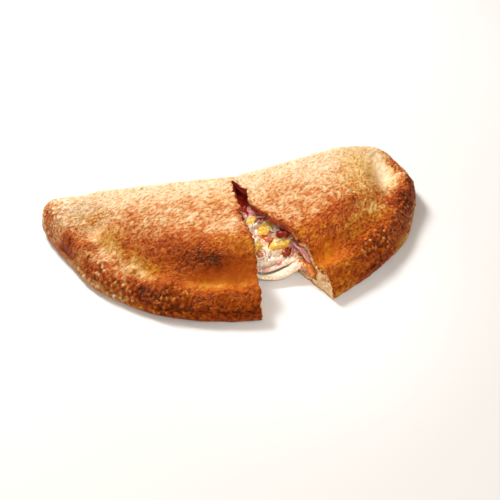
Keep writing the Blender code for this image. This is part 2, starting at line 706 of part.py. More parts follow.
# ---- pieces in the cheese -----------------------------------------------------------------------
def chunk_points(piece, detail, grown):
    """Points of a rounded, slightly tapering block of fruit, `grown` larger all round."""
    _, x, y, lift, length, width, height, degrees, taper = piece
    turn = math.radians(degrees)
    middle = heap_height(np.array([x + HINGE[0]]), np.array([y + HINGE[1]]))[0] + lift - 0.3 * height
    block = bmesh.new()
    bmesh.ops.create_icosphere(block, subdivisions=detail, radius=1.0)
    for vertex in block.verts:
        a, b, c = (math.copysign(abs(q) ** 0.62, q) for q in vertex.co)
        wobble = 1 + 0.06 * noise.noise(vertex.co * 1.7 + Vector((x, y, lift)) * 900)
        a *= (0.5 * length + grown) * wobble
        b *= (0.5 * width + grown) * wobble * (1 - taper * (0.5 + a / length))
        c *= 0.5 * height + grown
        vertex.co = (x + HINGE[0] + a * math.cos(turn) - b * math.sin(turn),
                     y + HINGE[1] + a * math.sin(turn) + b * math.cos(turn), middle + c)
    return block


def make_chunk(piece, colour, roughness):
    """The piece, and the pocket that it presses into the cheese, open at the top."""
    name = piece[0]
    block = chunk_points(piece, 3 if piece[4] > 0.009 else 2, 0.0)
    mesh = bpy.data.meshes.new(name)
    block.to_mesh(mesh)
    block.free()
    chunk = bpy.data.objects.new(name, mesh)
    bpy.context.collection.objects.link(chunk)
    finish(chunk, colour, roughness)

    room = chunk_points(piece, 2, GAP + 0.0003)
    spots = [vertex.co.copy() for vertex in room.verts]
    room.free()
    hull = bmesh.new()
    for spot in spots:
        hull.verts.new(spot)
        hull.verts.new(spot + Vector((0, 0, 0.03)))
    result = bmesh.ops.convex_hull(hull, input=hull.verts)
    unused = [g for g in result["geom_interior"] if isinstance(g, bmesh.types.BMVert)]
    bmesh.ops.delete(hull, geom=unused, context="VERTS")
    mesh = bpy.data.meshes.new(name + "_pocket")
    hull.to_mesh(mesh)
    hull.free()
    cutter = bpy.data.objects.new(name + "_pocket", mesh)
    bpy.context.collection.objects.link(cutter)
    face_outward(cutter)
    return cutter


def oval(x, y, length, width, degrees, seed, grown=0.0, count=44):
    """An uneven oval plan loop."""
    turn = math.radians(degrees)
    loop_x = []
    loop_y = []
    for i in range(count):
        facing = 2 * math.pi * i / count
        wobble = 1 + 0.16 * noise.noise(Vector((math.cos(facing), math.sin(facing), seed * 3.1)))
        a = (0.5 * length * wobble + grown) * math.cos(facing)
        b = (0.5 * width * wobble + grown) * math.sin(facing)
        loop_x.append(x + HINGE[0] + a * math.cos(turn) - b * math.sin(turn))
        loop_y.append(y + HINGE[1] + a * math.sin(turn) + b * math.cos(turn))
    return loop_x, loop_y


def make_ham(piece, seed):
    """A thin wavy slice under the torn crust, and the room it takes out of the cheese."""
    name, x, y, length, width, degrees, height = piece

    def upper(a, b):
        wave = 0.0009 * np.sin((a + 0.6 * b) / 0.0045 + seed) + 0.0004 * rough(a, b, 0.006, 60 + seed)
        wanted = height + wave + 0.10 * (a - HINGE[0] - x)
        return np.where(near_crust(a, b), np.minimum(wanted, headroom(a, b)), wanted)

    loop_x, loop_y = oval(x, y, length, width, degrees, seed)
    ham = solid_between(name, loop_x, loop_y, 0.0019, 70 + seed, upper,
                        lambda a, b: upper(a, b) - HAM_THICKNESS)
    finish(ham, (0.72, 0.38, 0.33), 0.4)
    wide_x, wide_y = oval(x, y, length, width, degrees, seed, grown=2 * GAP)
    return solid_between(name + "_room", wide_x, wide_y, 0.0019, 80 + seed,
                         lambda a, b: np.full_like(a, 0.06),
                         lambda a, b: upper(a, b) - HAM_THICKNESS - 2 * GAP)


# ---- build --------------------------------------------------------------------------------------
def clear_scene():
    for thing in list(bpy.data.objects):
        bpy.data.objects.remove(thing)


def main():
    clear_scene()
    make_crust()
    cutters = [make_chunk(piece, (0.85, 0.58, 0.14), 0.35) for piece in PINEAPPLE]
    cutters += [make_chunk(piece, (0.42, 0.07, 0.03), 0.3) for piece in TOMATO]
    cutters += [make_ham(piece, seed) for seed, piece in enumerate(HAM)]
    make_filling(cutters)


main()
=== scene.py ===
# %% [markdown]
# # A torn panzerotto
# A panzerotto is a large round of pizza dough, folded over its filling into a half-moon and baked.
# This one is torn open across the middle, so the two halves hang together only near the fold and
# melted cheese, ham, pineapple and tomato show between them.
#
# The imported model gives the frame: sizes, places and names. Everything made here fits into it.

# %% Load the frame
import json
import math
import random

import bmesh
import bpy
import numpy as np
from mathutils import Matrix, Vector, bvhtree, geometry, kdtree, noise

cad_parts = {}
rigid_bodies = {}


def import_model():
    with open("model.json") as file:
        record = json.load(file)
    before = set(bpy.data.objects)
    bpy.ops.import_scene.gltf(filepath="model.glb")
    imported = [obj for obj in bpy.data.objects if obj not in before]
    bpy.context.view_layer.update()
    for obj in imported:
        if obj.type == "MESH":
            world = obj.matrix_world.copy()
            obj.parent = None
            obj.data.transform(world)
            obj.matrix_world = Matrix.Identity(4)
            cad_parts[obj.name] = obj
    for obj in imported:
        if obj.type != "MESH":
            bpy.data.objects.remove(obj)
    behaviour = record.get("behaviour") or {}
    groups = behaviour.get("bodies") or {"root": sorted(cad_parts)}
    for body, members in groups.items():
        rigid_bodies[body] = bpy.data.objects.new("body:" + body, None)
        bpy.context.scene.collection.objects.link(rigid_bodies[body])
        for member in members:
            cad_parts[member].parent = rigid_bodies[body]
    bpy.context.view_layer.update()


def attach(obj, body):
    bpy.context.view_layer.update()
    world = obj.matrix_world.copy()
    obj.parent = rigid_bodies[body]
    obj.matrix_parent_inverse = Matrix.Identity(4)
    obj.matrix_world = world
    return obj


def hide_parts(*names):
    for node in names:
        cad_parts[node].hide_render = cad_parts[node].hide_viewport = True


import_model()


def put_in_scene(name, data):
    thing = bpy.data.objects.new(name, data)
    bpy.context.collection.objects.link(thing)
    return thing


# %% [markdown]
# ## The camera
# The panzerotto is looked down on from about forty degrees, with its left tip turned a little
# towards us. A lens near 50 mm keeps the far half from shrinking.

# %% Camera
LOOK_DOWN = math.radians(41.7)
TURN_ROUND = math.radians(18.149)
lens = bpy.data.cameras.new("camera")
lens.lens = 48.24
lens.sensor_width = 36.0
lens.clip_start = 0.01
camera = put_in_scene("camera", lens)
camera.location = (-0.12511, -0.37888, 0.35)
camera.rotation_euler = (math.pi / 2 - LOOK_DOWN, 0.0, -TURN_ROUND)
bpy.context.scene.camera = camera

# %% [markdown]
# ## Light and floor
# Baked dough looks warm and crisp when the main light comes softly from behind and from the left:
# it rakes over the top, so every grain of the crust gets a bright and a dark side, and the faces
# towards us stay deeper in colour. A wide, weak light from the front keeps the shadows open, and a
# small narrow one, like a card held near the camera, reaches into the tear.

# %% Light and floor
FORWARD = Vector((math.sin(TURN_ROUND), math.cos(TURN_ROUND), 0.0))
TO_LEFT = Vector((-math.cos(TURN_ROUND), math.sin(TURN_ROUND), 0.0))
UP = Vector((0.0, 0.0, 1.0))


def soft_light(name, forward, left, up, size, power, colour, spread=180, aim=(0.0, 0.0, 0.0)):
    """A round lamp, placed as the camera sees it, in metres and watts."""
    light = bpy.data.lights.new(name, "AREA")
    light.shape = "DISK"
    light.size = size
    light.spread = math.radians(spread)
    light.energy = power
    light.color = colour
    lamp = put_in_scene(name, light)
    lamp.location = FORWARD * forward + TO_LEFT * left + UP * up
    lamp.rotation_euler = (Vector(aim) - lamp.location).to_track_quat("-Z", "Y").to_euler()


soft_light("key_light", forward=0.80, left=0.60, up=1.00, size=0.40, power=26.0, colour=(1.0, 0.97, 0.93))
soft_light("fill_light", forward=-1.1, left=0.1, up=0.9, size=1.2, power=5.5, colour=(1.0, 0.89, 0.76))
soft_light("tear_card", forward=-0.34, left=-0.10, up=0.42, size=0.10, power=0.042,
           colour=(1.0, 0.98, 0.95), spread=34, aim=(0.016, -0.022, 0.015))
world = bpy.data.worlds.new("studio")
world.use_nodes = True
surroundings = world.node_tree.nodes["Background"].inputs
surroundings["Color"].default_value = (1.0, 0.87, 0.73, 1.0)
surroundings["Strength"].default_value = 0.35
bpy.context.scene.world = world
bpy.context.scene.view_settings.view_transform = "Standard"


def new_material(name):
    """A material, its node tree and its shader."""
    material = bpy.data.materials.new(name)
    material.use_nodes = True
    return material, material.node_tree, material.node_tree.nodes["Principled BSDF"]


floor_mesh = bpy.data.meshes.new("floor")
floor_mesh.from_pydata([(-3, -3, 0), (3, -3, 0), (3, 3, 0), (-3, 3, 0)], [], [(0, 1, 2, 3)])
floor = put_in_scene("floor", floor_mesh)
floor.location.z = -0.0002           # just under the dough, so that the two faces don't flicker
paint, tree, surface = new_material("pale floor")
surface.inputs["Base Color"].default_value = (0.80, 0.81, 0.83, 1.0)
surface.inputs["Roughness"].default_value = 0.7
floor_mesh.materials.append(paint)

# %% [markdown]
# ## The form of the dough
# The real dough is a flat round that is folded, sealed and then puffed by the oven. Its form could
# be sculpted by hand, but a height over a plan is easier to keep exact: `u` runs along the fold, `v`
# from the fold to the rounded rim, and a few functions say how high the crust stands. The same
# numbers shape the solid model, so the dressed crust lies on it everywhere.

# %% Dimensions of the dough, in metres
def in_metres(rows, unit=10000):
    """A table that is written in tenths of a millimetre, in metres."""
    return tuple(tuple(value / unit for value in row) for row in rows)


REACH_LEFT = 0.153
REACH_RIGHT = 0.148
DEPTH = 0.1405
OUTLINE_POWER = 1.85
SETBACK_LEFT = 0.0102
SETBACK_RIGHT = 0.0392
CORNER_LEFT = 0.0100
CORNER_RIGHT = 0.0347
DOME_LEFT = 0.0400
DOME_RIGHT = 0.0345
FOLD_HEIGHT = 0.0325
RIM_HEIGHT = 0.0210
TIP_RISE = 0.0060
RIM_WIDTH = 0.0260
SHOULDER_WIDTH = 0.0300
WALL = 0.0052
FLOOR_WALL = 0.0048
HINGE_SETBACK = 0.0120
HALF_OPENING = math.radians(8.47)
TORN_AWAY = math.tan(math.radians(8.0))
HINGE = (0.00123, 0.04676)
# Hollows and swellings: (u, v, length, width) in mm, direction in degrees, rise in tenths of a mm
LANDMARKS = (
    (-112, 47, 16, 10, -60, -45), (-105, 74, 16, 8, 55, -35), (-83, 99, 24, 7, 38, -30),
    (-36, 117, 30, 7, 8, -32), (-119, 60, 12, 6, -25, 30), (-96, 62, 12, 6, 70, 22),
    (-128, 30, 16, 10, -70, 30), (-50, 93, 26, 10, 20, 22), (-15, 100, 14, 9, -10, 18),
    (-75, 75, 18, 12, 30, -14), (118, 55, 16, 10, -50, -50), (133, 66, 10, 8, 80, 30),
    (100, 84, 18, 10, -35, 18), (22, 116, 14, 10, 0, -18), (40, 100, 16, 10, 10, 20),
    (62, 60, 22, 14, 30, 14),
)
# Where the outline swells or draws in: (direction and spread in degrees, reach in tenths of a mm)
OUTLINE_SWELLS = ((165, 5, 40), (182, 8, -34), (222, 20, 18), (331, 10, 28), (357, 8, 36), (19, 7, -26))
# Groups of blisters: (u, v, spread) in mm, and how many
BLISTER_GROUPS = (
    (-100, 88, 16, 10), (-78, 106, 18, 12), (-52, 122, 18, 12), (-20, 130, 14, 5),
    (-126, 62, 12, 5), (77, 114, 15, 9), (58, 122, 14, 8), (36, 130, 12, 7), (112, 90, 14, 5),
    (75, 69, 10, 3),
)
# Sections of the lip: (distance in from the outline, height)
RIM_SECTION = in_metres((
    (46, 0), (16, 6), (4, 26), (0, 52), (7, 74), (24, 86), (22, 100), (27, 130), (46, 158),
))
FOLD_SECTION = in_metres((
    (80, 0), (36, 12), (9, 50), (0, 110), (4, 170), (20, 220), (42, 258), (70, 286), (105, 308),
))
# Torn edges at the top of the crust, seen from above: (distance out from the hinge, x from the hinge)
LEFT_TOP_EDGE = in_metres((
    (88, -50), (250, -73), (374, -85), (442, -83), (466, -136), (561, -115), (636, -108),
    (756, -111), (829, -106), (924, -121), (1020, -144), (1150, -163), (1650, -245),
))
RIGHT_TOP_EDGE = in_metres((
    (88, -42), (154, -8), (226, 32), (323, 10), (430, 4), (487, 31), (539, 74), (620, 92),
    (676, 147), (738, 184), (866, 226), (885, 264), (985, 286), (1092, 308), (1144, 338),
    (1650, 488),
))
BOTTOM_START = 0.0015       # the lower crust is torn from this far out
# The right lower crust reaches into the tear: (out, spread, x)
LOWER_LIP = (0.0930, 0.0180, -0.0026)
# The right half's edge is drawn towards the tear: (out, spread, reach)
DRAWN_OVER = ((0.0410, 0.0130, 0.0062), (0.0090, 0.0080, 0.0052))
DRAWN_WIDTH = 0.018


# %% Soft steps, soft hills and noise
def ease(t):
    """0 below 0, 1 above 1, smooth between."""
    t = np.clip(t, 0.0, 1.0)
    return t * t * (3.0 - 2.0 * t)


def quarter_round(t):
    """Rises steeply from 0 and levels out at 1, as a rounded edge does."""
    return np.sqrt(1.0 - (1.0 - np.clip(t, 0.0, 1.0)) ** 2)


def mix(a, b, t):
    return a + (b - a) * t


def by_side(u, left, right):
    return np.where(u < 0.0, left, right)


def bump(u, v, place_u, place_v, length, width, degrees):
    """A soft oval hill of height 1."""
    turn = math.radians(degrees)
    along = (u - place_u) * math.cos(turn) + (v - place_v) * math.sin(turn)
    across = (v - place_v) * math.cos(turn) - (u - place_u) * math.sin(turn)
    return np.exp(-((along / length) ** 2) - (across / width) ** 2)


def ovals(table, u, v, unit=100):
    """The sum of soft ovals: (u, v, length, width) in mm, direction in degrees, amount in percent."""
    total = np.zeros_like(u)
    for *lengths, degrees, amount in table:
        total += amount / unit * bump(u, v, *(length / 1000 for length in lengths), degrees)
    return total


def rough(x, y, size, seed, z=None):
    """Smooth noise between about -1 and 1, with features about `size` across."""
    depth = np.full_like(np.ravel(x), 0.0) if z is None else np.ravel(z) / size
    points = zip(np.ravel(x) / size, np.ravel(y) / size, depth)
    values = [noise.noise(Vector((a, b, c + seed * 7.3))) for a, b, c in points]
    return np.array(values).reshape(np.shape(x))


# %% Height of the dough over its plan
def rim_distance(u, v):
    """Distance in from the rounded rim."""
    reach = by_side(u, REACH_LEFT, REACH_RIGHT)
    setback = by_side(u, SETBACK_LEFT, SETBACK_RIGHT)
    depth = DEPTH - setback
    across = np.abs(u) / reach
    down = np.maximum(v - setback, 0.0) / depth
    scale = np.maximum((across ** OUTLINE_POWER + down ** OUTLINE_POWER) ** (1 / OUTLINE_POWER), 1e-6)
    slope_u = (across / scale) ** (OUTLINE_POWER - 1) / reach
    slope_v = (down / scale) ** (OUTLINE_POWER - 1) / depth
    return (1 - scale) / np.maximum(np.hypot(slope_u, slope_v), 1e-6)


def edge_distance(u, v):
    """Distance in from the rim or the fold, whichever is nearer."""
    corner = by_side(u, CORNER_LEFT, CORNER_RIGHT)
    reach = by_side(u, REACH_LEFT, REACH_RIGHT)
    past = np.abs(u) - (reach - corner)
    turned = corner - np.hypot(np.maximum(past, 0.0), np.maximum(corner - v, 0.0))
    straight = np.minimum(v, reach - np.abs(u))
    near_fold = np.where((past > 0) & (v < corner), turned, straight)
    in_front = v > by_side(u, SETBACK_LEFT, SETBACK_RIGHT)
    return np.where(in_front, np.minimum(rim_distance(u, v), v), near_fold)


def puffed_height(u, v):
    """The smooth form of the top: rim, valley, dome and rolled fold."""
    inside = rim_distance(u, v)
    along = np.abs(u) / by_side(u, REACH_LEFT, REACH_RIGHT)
    dome = mix(DOME_LEFT, DOME_RIGHT, ease((u + 0.015) / 0.03)) * (1 - 0.22 * along ** 2.2)
    tip = TIP_RISE * ease((along - 0.72) / 0.25)
    foot = RIM_HEIGHT * (0.62 + 0.38 * ease(inside / 0.015)) + tip
    rise = np.sin(np.clip((inside - 0.8 * RIM_WIDTH) / SHOULDER_WIDTH, 0, 1) * math.pi / 2) ** 1.3
    height = foot + (dome - RIM_HEIGHT - tip) * rise
    height = height - (dome - FOLD_HEIGHT) * ease((0.065 - v) / 0.065) * rise
    roll = FOLD_HEIGHT * (1 - 0.12 * along ** 2) * ease(1 - (v - 0.015) / 0.05)
    return (np.maximum(height, 0) ** 6 + np.maximum(roll, 0) ** 6) ** (1 / 6)


def top_height(u, v):
    """The puffed form, rounded down to the lip at its edge."""
    height = puffed_height(u, v)
    away = ease((v - 0.008) / 0.025)
    lip = mix(0.0100, 0.0045, away)
    radius = mix(0.0220, 0.0110, away)
    return lip + (height - lip) * quarter_round(edge_distance(u, v) / radius)


middle = top_height(np.array([-0.06, 0.06]), np.array([0.06, 0.06])) * 1000
print("the crust stands", middle.round(1), "mm high in the middle of its halves")


# %% Blisters, hollows and an uneven edge
def blisters():
    """Places, radii and heights of the bubbles that the oven raised on the dough."""
    draw = random.Random(41)
    found = []
    for *lengths, count in BLISTER_GROUPS:
        place_u, place_v, spread = (length / 1000 for length in lengths)
        for _ in range(count):
            turn = draw.uniform(0, 2 * math.pi)
            away = spread * math.sqrt(draw.random())
            radius = draw.uniform(0.0018, 0.0036)
            found.append((place_u + away * math.cos(turn), place_v + away * math.sin(turn),
                          radius, radius * draw.uniform(0.35, 0.5)))
    return found


def relief(u, v):
    """Everything that makes the dough uneven, as a height to add."""
    height = ovals(LANDMARKS, u, v, unit=10000)
    inside = ease(edge_distance(u, v) / 0.02)
    height += 0.0013 * inside * rough(u, v, 0.030, 1)
    height += 0.0008 * rough(u, v, 0.012, 2)
    height += 0.0003 * rough(u, v, 0.005, 3)
    for place_u, place_v, radius, rise in blisters():
        off = np.hypot(u - place_u, v - place_v) / radius
        height += rise * np.sqrt(np.clip(1 - off * off, 0, 1))
    return height


def uneven(u, v):
    """Shift plan points so that the outline isn't a perfect curve."""
    middle_v = 0.4 * DEPTH
    facing = np.degrees(np.arctan2(middle_v - v, u)) % 360
    push = 0.0007 * rough(np.cos(np.radians(facing)), np.sin(np.radians(facing)), 0.12, 5)
    for degrees, spread, reach in OUTLINE_SWELLS:
        off = (facing - degrees + 180) % 360 - 180
        push += reach / 10000 * np.exp(-((off / spread) ** 2))
    push *= np.exp(-np.maximum(edge_distance(u, v), 0) / 0.018)
    away = np.maximum(np.hypot(u, v - middle_v), 1e-6)
    return u + push * u / away, v + push * (v - middle_v) / away


# %% Outline of the dough
def outline(inset_rim, inset_fold, arc_points, corner_points, fold_points):
    """Plan points round the dough, starting at the left tip and going along the rim."""
    power = 2 / OUTLINE_POWER
    turn = np.linspace(math.pi, 2 * math.pi, arc_points)
    side = np.cos(turn)
    setback = by_side(side, SETBACK_LEFT, SETBACK_RIGHT)
    reach = by_side(side, REACH_LEFT, REACH_RIGHT) - inset_rim
    rim_u = np.sign(side) * np.abs(side) ** power * reach
    rim_v = setback + np.abs(np.sin(turn)) ** power * (DEPTH - inset_rim - setback)
    turn = np.linspace(0, math.pi / 2, corner_points)
    inset = mix(inset_rim, inset_fold, ease(turn / (math.pi / 2)))
    (right_u, right_v), (left_u, left_v) = [
        (side * (reach - corner + (corner - inset) * np.cos(turn)), corner - (corner - inset) * np.sin(turn))
        for side, reach, corner in ((1, REACH_RIGHT, CORNER_RIGHT), (-1, REACH_LEFT, CORNER_LEFT))]
    fold_u = np.linspace(right_u[-1], left_u[-1], fold_points)[1:-1]
    fold_v = np.full_like(fold_u, inset_fold)
    u = np.concatenate([rim_u, right_u[1:], fold_u, left_u[::-1][:-1]])
    v = np.concatenate([rim_v, right_v[1:], fold_v, left_v[::-1][:-1]])
    return u, v


# %% [markdown]
# ## Opening the tear
# Both halves swing apart about a hinge that stays whole near the fold, as a torn bread does. Every
# point of the plan is simply turned about that hinge, one way on the left and the other on the right.

# %% Turning the halves apart
def open_out(u, v):
    """Swing both halves about the hinge, softly where the fold stays whole."""
    soft = mix(0.008, 0.001, ease((v - HINGE_SETBACK) / 0.010))
    turn = HALF_OPENING * np.sign(u) * ease(np.abs(u) / soft)
    y = HINGE_SETBACK - v
    drawn = 0.0
    for out, spread, reach in DRAWN_OVER:
        drawn = drawn + reach * np.exp(-(((y + out) / spread) ** 2))
    drawn = drawn * ease(u / soft) * np.exp(-np.maximum(u, 0) / DRAWN_WIDTH)
    return (HINGE[0] + u * np.cos(turn) - y * np.sin(turn) - drawn,
            HINGE[1] + u * np.sin(turn) + y * np.cos(turn))


def close_up(x, y):
    """The plan point of the whole dough that ended up at x, y in one of the halves."""
    x = x - HINGE[0]
    y = y - HINGE[1]
    turn = -HALF_OPENING * np.where(x < 0, -1.0, 1.0)
    return (x * np.cos(turn) - y * np.sin(turn),
            HINGE_SETBACK - (x * np.sin(turn) + y * np.cos(turn)))


# %% [markdown]
# ## Tools for meshes
# Every piece starts as plain numbers: a plan filled with triangles, a stack of rings or a tube along
# a path. These helpers make the triangles, cut and join solids, and pass numbers to the materials.

# %% Fill a plan with triangles
def finder(loop_x, loop_y):
    """A tree that finds the nearest point of a plan loop."""
    tree = kdtree.KDTree(len(loop_x))
    for index, (a, b) in enumerate(zip(loop_x, loop_y)):
        tree.insert((a, b, 0), index)
    tree.balance()
    return tree


def fill_plan(loop_x, loop_y, step, seed, fine_step=None, is_fine=None):
    """Triangles over the inside of a closed plan loop, with evenly strewn points, finer where asked."""
    count = len(loop_x)
    low = (min(loop_x), min(loop_y))
    high = (max(loop_x), max(loop_y))
    ring = finder(loop_x, loop_y)
    draw = random.Random(seed)
    points = [Vector((a, b)) for a, b in zip(loop_x, loop_y)]
    for gap, wants_fine in ((step, False), (fine_step, True)) if fine_step else ((step, False),):
        for row in range(int((high[1] - low[1]) / (gap * 0.87)) + 1):
            for column in range(int((high[0] - low[0]) / gap) + 1):
                a = low[0] + (column + 0.5 * (row % 2) + draw.uniform(-0.18, 0.18)) * gap
                b = low[1] + (row + draw.uniform(-0.18, 0.18)) * gap * 0.87
                if is_fine and bool(is_fine(a, b)) != wants_fine:
                    continue
                if ring.find((a, b, 0))[2] > 0.6 * gap:
                    points.append(Vector((a, b)))
    edges = [(i, (i + 1) % count) for i in range(count)]
    spots, _, faces, _, _, _ = geometry.delaunay_2d_cdt(points, edges, [], 1, 1e-7)
    used = sorted({i for face in faces for i in face})
    rename = {old: new for new, old in enumerate(used)}
    inside = np.array([(spots[i].x, spots[i].y) for i in used])
    return inside, [tuple(rename[i] for i in face) for face in faces]


# %% Make objects, and read or store numbers on their points
def face_outward(thing):
    """Weld doubled points and turn every face outward."""
    shape = bmesh.new()
    shape.from_mesh(thing.data)
    bmesh.ops.remove_doubles(shape, verts=shape.verts, dist=1e-6)
    bmesh.ops.recalc_face_normals(shape, faces=shape.faces)
    shape.to_mesh(thing.data)
    shape.free()


def new_object(name, vertices, faces):
    mesh = bpy.data.meshes.new(name)
    mesh.from_pydata([tuple(map(float, p)) for p in vertices], [], faces)
    thing = put_in_scene(name, mesh)
    face_outward(thing)
    return thing


def read_all(items, field, width=1, kind=np.float64):
    """One field of every vertex, face or corner of a mesh, as an array."""
    found = np.empty(len(items) * width, dtype=kind)
    items.foreach_get(field, found)
    return found.reshape(-1, width) if width > 1 else found


def places(thing):
    """Vertex places as an array of x, y, z."""
    return read_all(thing.data.vertices, "co", 3)


def material_numbers(thing):
    return read_all(thing.data.polygons, "material_index", kind=np.int32)


def keep_on_points(thing, name, values):
    """Store one number for each vertex, for a material to read."""
    layer = thing.data.attributes.new(name, "FLOAT", "POINT")
    layer.data.foreach_set("value", np.ascontiguousarray(values, dtype=np.float32))


# %% Cut and join
def apply_modifiers(thing):
    graph = bpy.context.evaluated_depsgraph_get()
    mesh = bpy.data.meshes.new_from_object(thing.evaluated_get(graph))
    thing.modifiers.clear()
    thing.data = mesh


def combine(thing, other, operation):
    """Cut or join `other` and remove it; its faces keep the material number they have."""
    step = thing.modifiers.new(operation.title(), "BOOLEAN")
    step.operation = operation
    step.solver = "EXACT"
    step.material_mode = "INDEX"
    step.object = other
    apply_modifiers(thing)
    bpy.data.objects.remove(other)


def keep_largest_piece(thing):
    """Drop loose scraps that a cut left behind."""
    shape = bmesh.new()
    shape.from_mesh(thing.data)
    waiting = set(shape.faces)
    pieces = []
    while waiting:
        stack = [waiting.pop()]
        piece = []
        while stack:
            face = stack.pop()
            piece.append(face)
            for edge in face.edges:
                for other in edge.link_faces:
                    if other in waiting:
                        waiting.remove(other)
                        stack.append(other)
        pieces.append(piece)
    pieces.sort(key=len)
    scraps = [face for piece in pieces[:-1] for face in piece]
    bmesh.ops.delete(shape, geom=scraps, context="FACES")
    loose = [vertex for vertex in shape.verts if not vertex.link_faces]
    bmesh.ops.delete(shape, geom=loose, context="VERTS")
    shape.to_mesh(thing.data)
    shape.free()


# %% Paths, rings and tubes
def walls_between(rings, flip=False):
    """Quads that join each ring of point numbers to the next."""
    faces = []
    for lower, upper in zip(rings, rings[1:]):
        for i in range(len(lower)):
            j = (i + 1) % len(lower)
            first, second = (j, i) if flip else (i, j)
            faces.append((lower[first], lower[second], upper[second], upper[first]))
    return faces


def smooth_path(points, steps):
    """A Catmull-Rom curve through the points."""
    spots = [Vector(p) for p in points]
    spots = [2 * spots[0] - spots[1]] + spots + [2 * spots[-1] - spots[-2]]
    path = []
    for before, first, second, after in zip(spots, spots[1:], spots[2:], spots[3:]):
        for i in range(steps):
            t = i / steps
            path.append(0.5 * (2 * first + (second - before) * t
                               + (2 * before - 5 * first + 4 * second - after) * t * t
                               + (3 * first - before - 3 * second + after) * t ** 3))
    return path + [spots[-2]]


def add_tube(vertices, faces, path, sides, flatness, girth_at):
    """Add a closed tube along a path; girth_at(index, turn) is its radius there."""
    rings = []
    for index, spot in enumerate(path):
        ahead = path[min(index + 1, len(path) - 1)] - path[max(index - 1, 0)]
        across = ahead.cross(UP).normalized()
        up = across.cross(ahead).normalized()
        rings.append(range(len(vertices), len(vertices) + sides))
        for side in range(sides):
            turn = 2 * math.pi * side / sides
            away = math.cos(turn) * across + flatness * math.sin(turn) * up
            vertices.append(spot + girth_at(index, turn) * away)
    faces += walls_between(rings) + [tuple(rings[0]), tuple(reversed(rings[-1]))]


# %% Finish a piece
def dress(piece, material, node=None):
    """Give a finished piece its material and body, and let it stand for its solid."""
    piece.data.shade_smooth()
    piece.data.materials.clear()
    piece.data.materials.append(material)
    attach(piece, "root")
    if node:
        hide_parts(node)


# %% [markdown]
# ## The whole dough, finely meshed
# The top is a sheet of triangles under a millimetre wide and the lip is a stack of rings, joined into
# one closed skin. A voxel remesh would be quicker to write, but it would blunt the crease under the
# rim and the edge of the tear.

# %% Make the whole dough
SKIN_STEP = 0.0008                   # width of a triangle on top
UNDERSIDE_STEP = 0.0040              # and below
SKIN, CRUMB, STEAMED = range(3)      # material numbers: baked outside, torn faces, inside wall


def whole_dough():
    """The dough before it was torn: rings round its lip, closed by a sheet above and one below."""
    rim_rows = smooth_path(RIM_SECTION, 2)
    fold_rows = smooth_path(FOLD_SECTION, 2)
    size = (430, 34, 270)                # points along the rim, round each corner and along the fold
    inner_u, inner_v = outline(rim_rows[-1].x, fold_rows[-1].x, *size)
    inner_z = top_height(inner_u, inner_v) + relief(inner_u, inner_v)
    weight = ease((inner_v - 0.008) / 0.025)
    planned = mix(fold_rows[-1].y, rim_rows[-1].y, weight)
    vertices = []
    rings = []
    for rim_row, fold_row in zip(rim_rows, fold_rows):
        u, v = outline(rim_row.x, fold_row.x, *size)
        z = np.maximum(mix(fold_row.y, rim_row.y, weight), 0) * inner_z / planned
        x, y = open_out(*uneven(u, v))
        rings.append(range(len(vertices), len(vertices) + len(u)))
        vertices += list(zip(x, y, z))
    faces = walls_between(rings)
    sheets = ((inner_u, inner_v, rings[-1], SKIN_STEP, True),
              (*outline(rim_rows[0].x, fold_rows[0].x, *size), rings[0], UNDERSIDE_STEP, False))
    for loop_u, loop_v, ring, step, is_top in sheets:
        spots, inner = fill_plan(loop_u, loop_v, step, 3)
        u, v = spots[:, 0], spots[:, 1]
        z = top_height(u, v) + relief(u, v) if is_top else np.zeros_like(u)
        x, y = open_out(*uneven(u, v))
        edge = finder(loop_u, loop_v)
        names = []
        for index, spot in enumerate(spots):
            _, nearest, off = edge.find((spot[0], spot[1], 0))
            if off < 1e-6:
                names.append(ring[nearest])
            else:
                names.append(len(vertices))
                vertices.append((x[index], y[index], z[index]))
        faces += [tuple(names[i] for i in face) for face in inner]
    return new_object("crust", vertices, faces)


crust = whole_dough()
print("whole dough:", len(crust.data.polygons), "faces")


# %% [markdown]
# ## Grain of the baked surface
# Flour and steam leave the skin covered in soft grains a millimetre or two across, drawn into short
# streaks over the shoulder. The larger ones are pushed out of the mesh here, and the finer ones come
# from the material.

# %% Smooth and knobbly places, and patterns of grain
SMOOTH = (
    (-24, 114, 36, 10, 5, 100), (28, 114, 18, 10, 0, 85), (-103, 64, 12, 7, 50, 70),
    (-113, 48, 10, 6, 30, 60), (118, 48, 14, 10, 100, 80), (-70, 98, 16, 8, 30, 50),
)
KNOBBLY = (
    (-146, 20, 18, 12, 80, 100), (-104, 92, 34, 9, 42, 110), (-62, 121, 20, 9, 18, 110),
    (70, 117, 24, 10, -25, 110), (114, 88, 22, 12, -45, 100), (138, 52, 20, 8, 90, 80),
    (71, 72, 10, 8, 0, 70),
)


def streaks(u, v, size, seed, z):
    """Noise drawn out into short wrinkles that slant over the shoulder."""
    along = u * 0.90 - v * 0.44
    across = (v * 0.90 + u * 0.44) * 1.8
    return rough(along, across, size, seed, z)


def grain(u, v, z):
    """Height of the grain: soft grains everywhere, and wrinkles over the shoulder."""
    height = 0.00030 * rough(u, v, 0.0030, 21, z)
    height += 0.00022 * rough(u, v, 0.0017, 22, z)
    height += 0.00055 * streaks(u, v, 0.0046, 23, z) * ease((v - 0.020) / 0.03)
    height += 0.00024 * streaks(u, v, 0.0028, 25, z)
    return height


def granules(u, v, z, size=0.0032):
    """Round grains that stand close together on the rim: 1 on a grain, 0 between grains."""
    spots = zip(np.ravel(u) / size, np.ravel(v) / size, np.ravel(z) * 0.7 / size)
    nearest = np.array([noise.voronoi(Vector(spot))[0][0] for spot in spots])
    return ease((0.58 - nearest) / 0.40)


